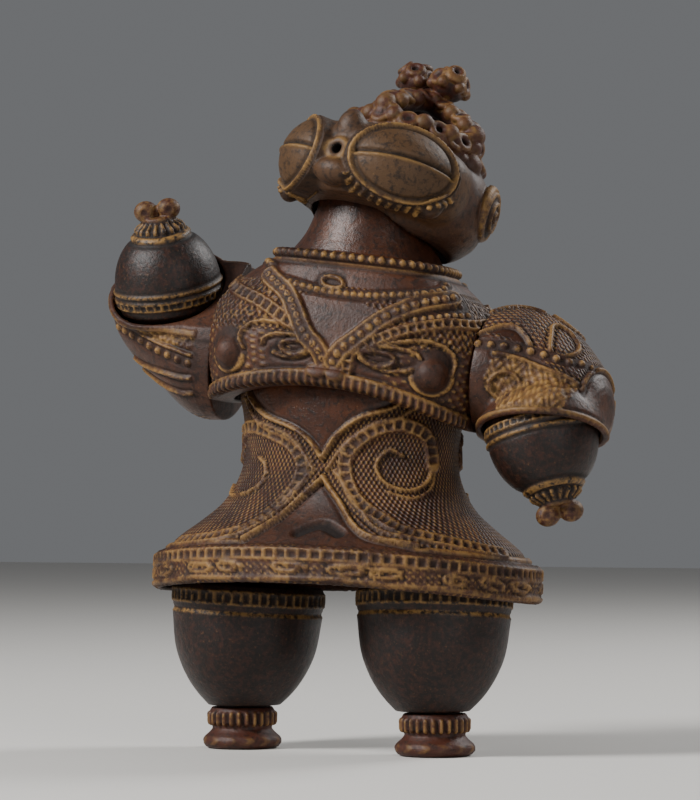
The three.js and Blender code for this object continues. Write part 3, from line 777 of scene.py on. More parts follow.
class Carving:
    """Relief and paint over the skin of one piece; what is laid first stays on top."""

    def __init__(self, p):
        n = len(p)
        self.height, self.taken = np.zeros(n), np.zeros(n)
        self.paint = {name: np.zeros(n) for name in ("tan", "pit", "gloss", "tone", "cords", "across", "up")}

    # pit darkens a recess with the deep colour: washed-in dark paint together with painted shade
    def lay(self, share, height=0.0, tan=0.0, pit=0.0, gloss=0.0, keep=True):
        free = share * (1 - self.taken)
        self.height += free * height
        for name, value in (("tan", tan), ("pit", pit), ("gloss", gloss)):
            self.paint[name] = np.maximum(self.paint[name], free * value)
        if keep:
            self.taken = np.maximum(self.taken, share)

    def ladder(self, v, u, half, pitch, rise=0.5, base=0.45):
        """Two rims with cross bars between them, like a ladder."""
        share = 1 - smoothstep(v, half + 0.15, half + 0.55)
        rim = np.exp(-(((v - half) / 0.24) ** 2))
        bar = smoothstep(np.abs(np.cos(np.pi * u / pitch)), 0.78, 0.97) * (v < half)
        ridge = np.maximum(rim, 0.9 * bar)
        self.lay(share, base + rise * (ridge - 0.5), tan=0.85 * ridge**2, pit=(v < half) * (1 - ridge) * 0.6)

    def rib(self, v, half, rise, tan=0.85, moat=0.0):
        """One rounded rib, with a sunk line at each side if it has a moat."""
        if moat:
            edge = np.exp(-(((v - half - 0.35) / 0.3) ** 2))
            self.lay(edge, -moat, pit=0.7, keep=False)
        share = 1 - smoothstep(v, half * 0.7, half * 1.3)
        self.lay(share, rise, tan=tan)

    def beads(self, v, u, pitch, radius, rise, floor=0.0, width=None):
        """A row of round beads along a sunk or raised strip."""
        width = width or radius + 0.25
        share = 1 - smoothstep(v, width, width + 0.4)
        off = (u / pitch - np.round(u / pitch)) * pitch
        dome = np.sqrt(np.clip(1 - (v**2 + off**2) / radius**2, 0, 1))
        self.lay(share, floor + rise * dome, tan=smoothstep(dome, 0.2, 0.8), pit=0.6 * (1 - dome))

    def done(self):
        return self.height, self.paint


LINE_STEP = 1.5  # from point to point of a carved line


def path_on(skin, places, turn=0.0):
    """A rounded line over a skin through (degrees, height) places."""
    line = smooth_path(np.asarray(places, float), LINE_STEP)
    return skin(line[:, 0] + turn, line[:, 1])


def loop(centre, size, turns, start, per_degree, tilt, shrink):
    """An oval spiral as (degrees, height) places: size in mm, wound inwards from its outer end."""
    t = np.linspace(0, 1, int(abs(turns) * 14) + 2)
    a = np.radians(start + 360 * turns * t)
    reach = 1 - shrink * t
    x, y = size[0] * reach * np.cos(a), size[1] * reach * np.sin(a)
    c, s = math.cos(math.radians(tilt)), math.sin(math.radians(tilt))
    return np.stack([centre[0] + (x * c - y * s) / per_degree, centre[1] + x * s + y * c], 1)


def inside(outline, across, up):
    """Which points lie inside a closed outline."""
    hit = np.zeros(len(across), bool)
    outline = np.asarray(outline, float)
    for (x0, y0), (x1, y1) in zip(outline, np.roll(outline, -1, axis=0)):
        if y0 != y1:
            hit ^= ((y0 > up) != (y1 > up)) & (across < x0 + (up - y0) / (y1 - y0) * (x1 - x0))
    return hit.astype(float)


def even_marks(rows, middle_radius):
    """Length up a turned skin, scaled so that marks keep their shape as the skin widens."""
    step = 0.1
    h = np.arange(rows[0][0], rows[-1][0], step)
    width, depth = smooth_table(rows)(h)
    radius = (width + depth) / 2
    rise = np.gradient(radius, h)
    total = np.cumsum(np.sqrt(1 + rise**2) * middle_radius / radius) * step
    return lambda height: np.interp(height, h, total)


# Lines of the belly as (degrees from the middle, height), for the left (1) and the right (-1)
UPPER_X = {
    -1: [(-50, 36), (-46, 33.8), (-34, 30.8), (-15, 28.6), (-4, 26.1), (2, 23.4)],
    1: [(2, 23.4), (10, 27.6), (22, 30.6), (37, 32.4), (46, 34.5)],
}
LAMBDA = {
    -1: [(4, 20.3), (-5, 16.1), (-11, 11.1), (-17, 7.4)],
    1: [(4, 20.3), (13, 15.8), (19, 10.8), (25, 8.6), (40, 7.8)],
}
OVAL = {
    1: [(66, 23), (64, 26.6), (56, 28.8), (42, 29.6), (27, 28.1), (15, 23.4), (20, 16.6), (30, 12.4)]
    + [(38, 10.1), (58, 8.6), (76, 8)],
    -1: [(-71, 24), (-68, 27.6), (-47, 29.0), (-20, 26.6), (-9, 23.1), (-8, 19.8), (-15, 13.6)]
    + [(-19, 9.9), (-30, 8), (-50, 7.6)],
}
SCROLL = {
    1: [(46, 24.4), (38, 25.2), (31, 22.6), (36, 19.4), (48, 18.4), (60, 20.2), (67, 23.5), (66, 27.5)],
    -1: [(-40, 23.6), (-33, 22.2), (-31, 19.6), (-39, 17.2), (-56, 16.8), (-68, 18.8)],
}
BARE_BELLY = UPPER_X[-1] + UPPER_X[1][1:] + [(46, 44), (-50, 44)]
BARE_LAP = LAMBDA[-1][:3] + [(-17, 6.9), (40, 6.9)] + LAMBDA[1][3:0:-1]
BELLY_MEAN, HEM_MEAN = 22, 30.2  # mean radii, in mm
HEM_CELLS, HEM_SCROLLS = 104, 22
belly_up = even_marks(BELLY, BELLY_MEAN)


def hem_place(degrees, height):
    a = np.radians(degrees)
    x = HEM_WIDTH * np.sin(a)
    return np.stack([x, -HEM_DEPTH * np.cos(a), height + hem_lift(x, height)], -1)


def hips_relief(p, out):
    x, y, z = p.T
    height = z - hem_lift(x, z)
    width, depth = belly_size(height)
    angle = np.arctan2(x / width, -y / depth)
    degrees = np.degrees(angle)
    c = Carving(p)
    for turn in (0, 180):
        near = (degrees - turn + 180) % 360 - 180
        # A sunk crescent on each side, painted fully dark: painted shadow in its hollow
        hollow = path_on(belly_place, [(0.5, 9.2), (5, 10.6), (9, 10.8), (14, 9.4)], turn)
        v, u = along(hollow, p, 2)
        dip = 1 - smoothstep(v, 0.7, 1.5)
        c.lay(dip, -1.0, pit=1.0)
        for side in (1, -1):
            v, u = along(path_on(belly_place, UPPER_X[side], turn), p, 3.5)
            c.rib(v, 0.36, 0.75, moat=0.25)
        for side in (1, -1):
            v, u = along(path_on(belly_place, LAMBDA[side], turn), p, 3.5)
            c.rib(v, 0.42, 0.8, moat=0.3)
        c.lay(inside(BARE_BELLY, near, height), 0, gloss=0.9)
        c.lay(inside(BARE_LAP, near, height), -0.15, gloss=0.3, pit=0.25)
        for side in (1, -1):
            for line, aside, down in ((UPPER_X, 3.5, 1.9), (LAMBDA, 5.5, -1.1)):
                lower = [(a + side * aside, h - down) for a, h in line[side]]
                v, u = along(path_on(belly_place, lower, turn), p, 2)
                c.rib(v, 0.28, 0.45, tan=0.6, moat=0.15)
        for side in (1, -1):
            v, u = along(path_on(belly_place, OVAL[side], turn), p, 3)
            c.ladder(v, u, 0.95, 1.65)
        for side in (1, -1):
            v, u = along(path_on(belly_place, SCROLL[side], turn), p, 3)
            c.rib(v, 0.3, 0.5, moat=0.2)
            if side == 1:
                inner = [(a, h - 1.5) for a, h in SCROLL[side][3:]]
                v, u = along(path_on(belly_place, inner, turn), p, 3)
                c.rib(v, 0.25, 0.4, tan=0.7)
    # Hem: a row of cells under its upper edge, a rib at its foot and worn scrolls between them
    on_hem = (height < HEM_HEIGHT + 0.4) & (np.hypot(x / HEM_WIDTH, y / HEM_DEPTH) > 0.955)
    round_hem = np.arctan2(x / HEM_WIDTH, -y / HEM_DEPTH)
    about = round_hem * HEM_MEAN
    cell = 2 * math.pi * HEM_MEAN / HEM_CELLS
    v = np.abs(height - 5.0)
    c.ladder(np.where(on_hem, v, 9), about, 0.85, cell, rise=0.45, base=0.1)
    v = np.abs(height - 0.9 - 0.15 * np.sin(round_hem * 9))
    c.rib(np.where(on_hem, v, 9), 0.4, 0.3, tan=0.6)
    for k in range(HEM_SCROLLS):
        middle = -180 + k * 360 / HEM_SCROLLS + 3 * math.sin(k * 2.3)
        size = (3.1 + 0.7 * math.sin(k * 1.7), 1.0)
        start, tilt = 40 + 60 * math.sin(k), 6 * math.sin(k * 1.1)
        ring = loop((middle, 2.7), size, 1.35, start, 0.52, tilt=tilt, shrink=0.55)
        v, u = along(hem_place(ring[:, 0], ring[:, 1]), p, 2)
        c.rib(np.where(on_hem, v, 9), 0.28, 0.32, tan=0.75, moat=0.12)
    v = np.abs(height - 7.3)
    off = np.where(on_hem | (height < 6.7), 9, v)
    c.rib(off, 0.35, 0.3, tan=0.6, moat=0.2)
    free = 1 - c.taken
    rough = free * on_hem
    wander = np.sin(about * 5.2 + 2 * np.sin(height * 3))
    c.height += rough * 0.16 * wander * np.sin(height * 5.4 + 1.5 * np.sin(about))
    grain = smoothstep(np.sin(about * 5.2) * np.sin(height * 5.4), 0.2, 0.8)
    c.paint["tan"] = np.maximum(c.paint["tan"], rough * grain * 0.8)
    c.paint["pit"] = np.maximum(c.paint["pit"], rough * 0.3)
    c.paint["cords"] = free * (height > HEM_HEIGHT + 0.4) * (height < 41)
    c.paint["across"] = angle * BELLY_MEAN
    c.paint["up"] = belly_up(height)
    skin = (out[:, 0] * x + out[:, 1] * y) / np.maximum(np.hypot(x, y), 1)
    outer = smoothstep(skin, 0.1, 0.35) * (height > -0.5)
    for name in ("tan", "cords"):
        c.paint[name] *= outer
    c.height *= outer
    return c.done()


# Lines of the chest, given as those of the belly
COLLAR_HEIGHT, COLLAR_RADIUS, COLLAR_BEADS = 24.15, 14.5, 58
YOKE = [(-60, 22.3), (-44, 21.6), (-32, 19.6), (-23, 18.8), (-8, 18)]
YOKE += [(11, 17.8), (28, 18.6), (48, 19.9), (62, 21.6)]
LAPEL = {
    -1: [(-36, 19.6), (-21, 16.8), (-12, 12.5), (-5, 6.5), (0.5, 0.8)],
    1: [(56, 19.2), (37, 17.6), (21, 14.3), (11, 9.5), (4, 1.4)],
}
BARE_BREAST = [(-20, 17.2), (-8, 17.2), (11, 17), (20, 15.2), (12, 10.5)]
BARE_BREAST += [(6, 5), (2.6, 1.5), (-3, 5.5), (-10, 12.0)]
CHEST_LADDER = {
    -1: [(-70, 18.4), (-55, 17.2), (-32, 15.2), (-19, 12.8), (-9, 10.9)],
    1: [(72, 15.6), (59, 15.0), (44, 14.6), (27, 12.4), (17, 9.4), (11, 5.0), (10, 0.2)],
}
# Middle, size in mm, turns, degrees of the outer end, share that it winds in, tilt
BREAST_SCROLLS = [
    ((-12.5, 4.6), (2.5, 2.4), 1.0, 160, 0.0, 0),
    ((-15, 5.4), (4.7, 3.7), 0.86, 250, 0.0, -20),
    ((-21, 6.4), (6.8, 5.2), 0.42, 75, 0.0, -22),
    ((21, 4.6), (2.9, 2.2), 1.0, -20, 0.0, 12),
    ((25, 5.4), (5.4, 3.4), 1.0, 0, 0.0, 17),
    ((33, 6.2), (8.0, 4.9), 0.5, -50, 0.0, 14),
]
LEFT_BEADS = ([(24, 14.6), (33, 16.3), (48, 17.6), (62, 18.2)], [(33, 14.8), (48, 16.2), (62, 16.8)])
BELT_KNOTS = [(-2.2, -0.5, 2.3), (5.4, -0.7, 1.9)]  # degrees, height, size
NIPPLE_ANGLE, NIPPLE_HEIGHT, NIPPLE_RING, NIPPLE_BEADS = 42, 4.4, 3.6, 14
PER_DEGREE = 0.45  # mm round the chest for one degree


def chest_with_nipples(p):
    d = chest_shape(p)
    for side in (1, -1):
        at = chest_place(side * NIPPLE_ANGLE, NIPPLE_HEIGHT)
        sunk = at * (0.975, 0.965, 1)
        d = merge(d, within(p, at - 3, at + 3, lambda q: ball(q, sunk, 2.8)), 1.6)
    return np.maximum(d, np.abs(p[:, 0]) - HALF_SPAN)


def chest_relief(p, out):
    x, y, z = p.T
    height = z - belt_lift(x, z)
    height = z - belt_lift(x, height)
    width, depth = barrel_size(height)
    angle = np.arctan2(x / width, -y / depth)
    degrees = np.degrees(angle)
    c = Carving(p)
    about = angle * COLLAR_RADIUS
    on_neck = z > 24.9
    # Collar: two rows of beads, and the smooth neck above them
    ring = 2 * math.pi * COLLAR_RADIUS / COLLAR_BEADS
    c.beads(np.where(on_neck, 9, np.abs(z - COLLAR_HEIGHT)), about, ring, 0.55, 0.5, floor=0.1)
    c.rib(np.where(on_neck, 9, np.abs(z - 23.1)), 0.35, 0.2, tan=0.5, moat=0.15)
    c.lay(on_neck.astype(float), 0, gloss=0.6)
    # Belt: a rolled lower edge with short upright ticks
    tick = np.cos(angle * 110)
    belt = (np.abs(height + 2.1) < 1.05).astype(float)
    for turn in (0, 180):
        near = (degrees - turn + 180) % 360 - 180
        for at, level, size in BELT_KNOTS:
            far = np.hypot((near - at) * PER_DEGREE / size, (height - level) / 1.35)
            share = 1 - smoothstep(far, 0.8, 1.05)
            c.lay(share, 0.8 - 0.25 * far**2, tan=smoothstep(far, 0.55, 0.9) * 0.4)
    c.lay(belt, 0.16 * tick, tan=smoothstep(tick, 0.5, 1) * 0.6, pit=smoothstep(-tick, 0.0, 0.8) * 0.7)
    c.rib(np.abs(height + 0.75), 0.28, 0.28, tan=0.6, moat=0.25)
    for turn in (0, 180):
        near = (degrees - turn + 180) % 360 - 180
        oval = loop((-3, 19.6), (2.5, 0.95), 1, 0, PER_DEGREE, tilt=-6, shrink=0)
        v, u = along(chest_place(oval[:, 0] + turn, oval[:, 1]), p, 2)
        c.rib(v, 0.3, 0.55, moat=0.15)
        for side in (1, -1):
            v, u = along(path_on(chest_place, LAPEL[side], turn), p, 4)
            wide = 1.35
            strip = 1 - smoothstep(v, wide, wide + 0.5)
            edge = np.exp(-(((v - wide) / 0.3) ** 2))
            pitch, size = (1.75, 0.72) if side == 1 else (1.5, 0.6)
            off = (u / pitch - np.round(u / pitch)) * pitch
            dome = np.sqrt(np.clip(1 - (v**2 + off**2) / size**2, 0, 1))
            if side == -1:
                dome *= smoothstep(np.hypot(v, off), 0.12, 0.3)
            tan = np.maximum(edge * 0.9, smoothstep(dome, 0.3, 0.8))
            c.lay(strip, 0.5 + 0.3 * edge + 0.5 * dome, tan=tan, pit=0.4 * (1 - dome) * (1 - edge))
        v, u = along(path_on(chest_place, YOKE, turn), p, 3)
        c.beads(v, u, 1.35, 0.58, 0.45, floor=0.35)
        c.lay(inside(BARE_BREAST, near, height), -0.1, gloss=0.35, pit=0.1)
        c.lay(((height > 19) & (np.abs(near) < 60)).astype(float), 0, gloss=0.25, pit=0.1)
        for side in (1, -1):
            v, u = along(path_on(chest_place, CHEST_LADDER[side], turn), p, 3)
            half, pitch = (0.95, 1.75) if side == -1 else (0.7, 1.5)
            c.ladder(v, u, half, pitch, rise=0.5)
        for middle, size, turns, start, shrink, tilt in BREAST_SCROLLS:
            line = loop(middle, size, turns, start, PER_DEGREE, tilt, shrink)
            v, u = along(chest_place(line[:, 0] + turn, line[:, 1]), p, 3)
            c.rib(v, 0.3, 0.55, tan=0.85, moat=0.22)
        for row in LEFT_BEADS:
            v, u = along(path_on(chest_place, row, turn), p, 2)
            c.beads(v, u, 1.4, 0.5, 0.4)
        for middle in (BREAST_SCROLLS[0][0], BREAST_SCROLLS[3][0]):
            far = np.hypot((near - middle[0]) * PER_DEGREE, height - middle[1])
            grain = np.sin(about * 5.5 + turn) * np.sin(height * 5.5)
            share = (far < 2.7) * (1 - c.taken)
            c.lay(share, 0.15 * grain, tan=smoothstep(grain, 0.1, 0.6) * 0.8, pit=0.35)
    nipple = np.full(len(p), 9.0)
    for side in (1, -1):
        at = chest_place(side * NIPPLE_ANGLE, NIPPLE_HEIGHT)
        nipple = np.minimum(nipple, np.linalg.norm(p - at, axis=1))
    pitch = NIPPLE_RING * 2 * math.pi / NIPPLE_BEADS
    c.beads(np.abs(nipple - NIPPLE_RING), np.arctan2(z - 4, x) * NIPPLE_RING, pitch, 0.45, 0.3)
    free = 1 - c.taken
    boss = 1 - smoothstep(nipple, 2.6, 3.0)
    c.height *= 1 - boss
    c.paint["tan"] *= 1 - boss
    # A faint dark ring round the foot of each boss is painted shade
    c.paint["pit"] = np.maximum(c.paint["pit"] * (1 - boss), boss * 0.25 * smoothstep(nipple, 1.8, 2.8))
    bumps = free * (height < 19) * (1 - boss) * (np.abs(degrees) % 180 > 24)
    knobbly = np.sin(about * 3.6) * np.sin(height * 3.7 + 0.8 * np.sin(about))
    c.height += bumps * 0.16 * knobbly
    c.paint["tan"] = np.maximum(c.paint["tan"], bumps * 0.7 * smoothstep(knobbly, 0.35, 0.8))
    c.paint["cords"] = free * (height > 10) * (height < 20.5)
    c.paint["across"] = angle * 20
    c.paint["up"] = height
    flat = (np.abs(np.abs(x) - HALF_SPAN) < 0.12) | (height < -3.1)
    cup = (out[:, 0] * x + out[:, 1] * y < 0) & (z < 10)
    for name in ("tan", "cords", "gloss"):
        c.paint[name] *= ~(flat | cup)
    c.height *= ~(flat | cup)
    return c.done()


def sleeve_place(degrees, x):
    """A place on the sleeve: degrees round it from its top towards its back, and mm outward."""
    radius, droop = sleeve_size(x)
    a = np.radians(degrees)
    y, z = radius * np.sin(a), radius * np.cos(a)
    c, s = math.cos(STRETCH_TILT), math.sin(STRETCH_TILT)
    more = STRETCH * (1 - smoothstep(x, STRETCH_FROM, STRETCH_TO)) * (y * c + z * s)
    return np.stack([x + 0 * y, (y + more * c) * SLEEVE_DEPTH, z + more * s + droop], -1)


RIM = 0.35  # half of the rib round a sleeve's mouth
SLEEVE_MEAN, EGG_WIDE, LEG_WIDE = 11.5, 9.4, 13.2  # radii on which marks are spaced, in mm
EGG_CELLS, LEG_CELLS = 44, 52


def sleeve_relief_of(arm, marks):
    def relief(p, out):
        x, y, z = p.T
        radius, droop = sleeve_size(x)
        angle = np.arctan2(y, z - droop)
        degrees = np.degrees(angle)
        c = Carving(p)
        mouth = back(arm["mouth"], p)
        open_side = mouth[:, 2] < RIM
        rim = np.where(open_side, 9, mouth[:, 2] - RIM)
        c.rib(np.abs(rim - RIM), 0.42, 0.3, tan=0.55, moat=0.2)
        for kind, line in marks:
            v, u = along(path_on(sleeve_place, line), p, 3)
            if kind == "beads":
                c.beads(v, u, 2.3, 0.68, 0.62, floor=-0.15, width=0.95)
            elif kind == "rib":
                c.rib(v, 0.32, 0.45, tan=0.75, moat=0.2)
        for kind, line in marks:
            if kind == "smooth":
                c.lay(inside(line, degrees, x), -0.05, gloss=0.5, pit=0.15)
            elif kind == "worn":
                share = inside(line, degrees, x) * (1 - c.taken)
                wander = np.sin(angle * 40 + 1.3 * np.sin(x * 2.1))
                grain = wander * np.sin(x * 4.3 + 1.1 * np.sin(angle * 9))
                tan, pit = 0.35 + 0.6 * smoothstep(grain, -0.2, 0.6), 0.25 * smoothstep(-grain, 0, 0.8)
                c.lay(share, 0.2 * grain, tan=tan, pit=pit)
        free = 1 - c.taken
        skin = (out[:, 1] * y + out[:, 2] * (z - droop)) / np.maximum(np.hypot(y, z - droop), 1)
        shown = (x > 0.6) & ~open_side & (skin + 0.6 * (x > 15) > 0.15)
        c.paint["cords"] = free * shown * arm["corded"](degrees, x)
        c.paint["across"] = angle * SLEEVE_MEAN
        c.paint["up"] = x
        for name in ("tan", "gloss"):
            c.paint[name] *= shown
        c.height *= shown
        return c.done()

    return relief


def forearm_relief(p, out):
    x, y, z = p.T
    angle = np.arctan2(y, x)
    c = Carving(p)
    body = z < 8.2
    cell = 2 * math.pi * EGG_WIDE / EGG_CELLS
    c.ladder(np.where(body, np.abs(z + 3.4), 9), angle * EGG_WIDE, 0.62, cell, rise=0.3, base=0.15)
    c.rib(np.where(body, np.abs(z + 1.5), 9), 0.28, 0.28, tan=0.7, moat=0.1)
    c.rib(np.abs(z - 7.7 - 0.12 * np.cos(2 * angle)), 0.4, 0.3, tan=0.75, moat=0.15)
    rib = np.cos(angle * 18)
    neck = ((z > 8.4) & (z < 10.1)).astype(float)
    c.lay(neck, 0.22 * rib, tan=smoothstep(rib, 0, 0.8) * 0.8, pit=smoothstep(-rib, 0, 0.8) * 0.7)
    knot = smoothstep(z, 10.3, 10.9)
    dimple = 1 - smoothstep(np.hypot(np.abs(x) - 2.2, z - 12.2), 0.3, 0.9)
    c.lay(knot * dimple, -0.25, pit=0.5)
    c.lay(knot, 0.0, tan=0.35 + 0.2 * np.sin(x * 3) * np.sin(z * 3 + y * 2))
    c.paint["tone"] = knot * 0.8
    c.paint["gloss"] += 0.3 * (z < 8)
    return c.done()


def leg_relief(p, out):
    x, y, z = p.T
    angle = np.arctan2(y, x)
    side = np.hypot(x, y) > 12.4
    c = Carving(p)
    cell = 2 * math.pi * LEG_WIDE / LEG_CELLS
    band = np.where(side & (z < 20.9), np.abs(z - 18.9), 9)
    c.ladder(band, angle * LEG_WIDE, 1.0, cell, rise=0.35, base=0.1)
    c.rib(np.where(side, np.abs(z - 16.2), 9), 0.3, 0.12, tan=0.75)
    c.paint["gloss"] += 0.3 * (z < 16)
    return c.done()


def foot_relief(p, out):
    x, y, z = p.T
    angle = np.arctan2(y, x)
    c = Carving(p)
    rib = np.cos(angle * 26)
    ring = smoothstep(z, 3.9, 4.3) * (1 - smoothstep(z, 6.2, 6.6)) * (np.hypot(x, y) > 5)
    c.lay(ring, 0.3 * rib - 0.05, tan=smoothstep(rib, 0.1, 0.9) * 0.7, pit=smoothstep(-rib, 0, 0.9) * 0.8)
    wave = np.cos(angle * 13 + 1.1 * np.sin(z * 3))
    rim = smoothstep(z, 0.5, 1) * (1 - smoothstep(z, 1.8, 2.4))
    c.lay(rim, 0.06 * wave, tan=0.35 * smoothstep(wave, 0, 0.8), keep=False)
    c.paint["tone"] = np.full(len(p), 0.75)
    return c.done()


SWIRL = 1.6  # mm between the turns of an ear's swirl


def head_relief(p, out):
    x, y, z = p.T
    c = Carving(p)
    eye = np.zeros(len(p))
    front = y < 1.5
    for side in (1, -1):
        depth, share = eye_depth(p, side)
        near = (depth > -3) & (share < 1.7)
        ex, ey, ez = back(EYES[side], p).T
        mm = np.where(near, np.abs(share - 0.94) * 8.2, 9)
        c.rib(mm, 0.27, 0.5, tan=0.8, moat=0.3)
        in_eye = near & (share < 0.9)
        eye = np.maximum(eye, in_eye * 1.0)
        # Each lens has a sunk slit painted fully dark as painted shade, with a lighter lip under it
        sag = 0.5 - 0.006 * ex**2
        line = ez - sag
        slit = in_eye * np.exp(-((line / 0.3) ** 2))
        lip = in_eye * np.exp(-(((line + 0.6) / 0.26) ** 2))
        c.height += -0.6 * slit + 0.28 * lip
        c.paint["tan"] = np.maximum(c.paint["tan"], lip * 0.7)
        c.paint["pit"] = np.maximum(c.paint["pit"], slit)
        c.taken = np.maximum(c.taken, in_eye)
        round_eye = np.arctan2(ez / EYE_TALL, side * ex / EYE_LENGTH)
        under = near & (round_eye < -0.45) & (round_eye > (-2.6 if side == 1 else -1.6))
        c.beads(np.where(under, np.abs(share - 1.07) * 7.6, 9), round_eye * 9.2, 1.5, 0.46, 0.42)
        # The ear: a swirl inside a rib
        qx, qy, qz = back(EARS[side], p).T
        r = np.hypot(qx, qz)
        face = (qy < 0.2) & (r < 5.3) & (np.abs(qy) < 3)
        swirl = (r - np.arctan2(qz, qx) / (2 * math.pi) * SWIRL) / SWIRL
        swirl = np.abs(swirl - np.round(swirl)) * SWIRL
        c.rib(np.where(face & (r < 4.2), swirl, 9), 0.3, 0.35, tan=0.7, moat=0.1)
        c.rib(np.where(face, np.abs(r - 4.5), 9), 0.35, 0.35, tan=0.7)
    # The nostril is painted black as painted shade down its hole; the ring round it is dry-brushed tan
    r = np.hypot(x - NOSE[0], z - NOSE[2])
    hole = (r < 1.0) & (y < NOSE[1] + 3) & front
    c.paint["pit"] = np.maximum(c.paint["pit"], hole * 1.0)
    c.paint["tan"] = np.maximum(c.paint["tan"], np.exp(-(((r - 1.9) / 0.4) ** 2)) * front * 0.6)
    crown = smoothstep(z, 3.2, 4.6) * smoothstep(np.hypot(x, y - 5), 5.5, 7) + smoothstep(z, 8, 9)
    crown = np.clip(crown, 0, 1) * (1 - eye)
    deep, proud = np.full(len(p), 9.0), np.full(len(p), 9.0)
    for at, facing, radius, thick in CURLS:
        far = np.linalg.norm(p - at, axis=1)
        deep = np.minimum(deep, far / radius)
        proud = np.minimum(proud, far - radius - thick)
    for at, radius in CROWN_KNOBS:
        proud = np.minimum(proud, np.linalg.norm(p - at, axis=1) - radius)
    # The crown's curl middles and the gaps between its lumps are darkened as painted shade
    sunk = np.maximum(1 - smoothstep(deep, 0.35, 0.75), smoothstep(proud, 0.1, 0.8) * 0.7)
    c.paint["pit"] = np.maximum(c.paint["pit"], crown * sunk)
    worn = crown * (1 - sunk) * smoothstep(-proud, -0.1, 0.1) * smoothstep(deep, 0.8, 1.4) * 0.5
    c.paint["tan"] = np.maximum(c.paint["tan"], worn)
    c.paint["tone"] = crown
    c.paint["lens"] = np.clip(eye + (1 - crown) * front * smoothstep(z, -12, -8) * 0.55, 0, 1)
    # The socket's wall under the head, where the neck goes in, is painted dark as painted shade
    socket = np.abs(neck_room(p)) < 0.15
    c.paint["pit"] = np.maximum(c.paint["pit"], socket * 0.8)
    return c.done()


# ---- finishes ----------------------------------------------------------------------------------


def linear(code):
    """A colour as painted, for example 5a3826, as the renderer's linear red, green and blue."""
    parts = [int(code[i : i + 2], 16) / 255 for i in (0, 2, 4)]
    return tuple(c / 12.92 if c <= 0.04045 else ((c + 0.055) / 1.055) ** 2.4 for c in parts) + (1.0,)


def add(tree, kind, inputs, output=0, **settings):
    """Adds one node with its settings and what feeds it, and gives the output asked for."""
    made = tree.nodes.new(kind)
    for name, value in settings.items():
        setattr(made, name, value)
    for key, value in inputs.items():
        if isinstance(value, bpy.types.NodeSocket):
            tree.links.new(value, made.inputs[key])
        else:
            made.inputs[key].default_value = value
    return made.outputs[output] if len(made.outputs) else None


def per_metre(size_mm):
    """Texture scale whose features come out at a size in mm."""
    return 1000 / size_mm


# Sizes of the finish in mm. Mottling is each paint's own; specks are the stipple of a nearly dry
# brush and grit is the tooth of the paint. The pressed cord's grains are a little finer on the figure
# and would blur in the render, so they are drawn 1 mm apart and nearly twice as long.
SPECKS, GRIT = 1.1, 0.45
CORD_ACROSS, CORD_UP = 1.0, 1 / 0.55
BUMP_MM = 0.22
SOFT_SHINE = 0.43  # least roughness of the bare paint, before its specks, wash and polish
CARVED = ("tan", "pit", "gloss", "tone", "cords", "across", "up", "lens")
MATHS, RAMP, MIX = "ShaderNodeMath", "ShaderNodeMapRange", "ShaderNodeMix"


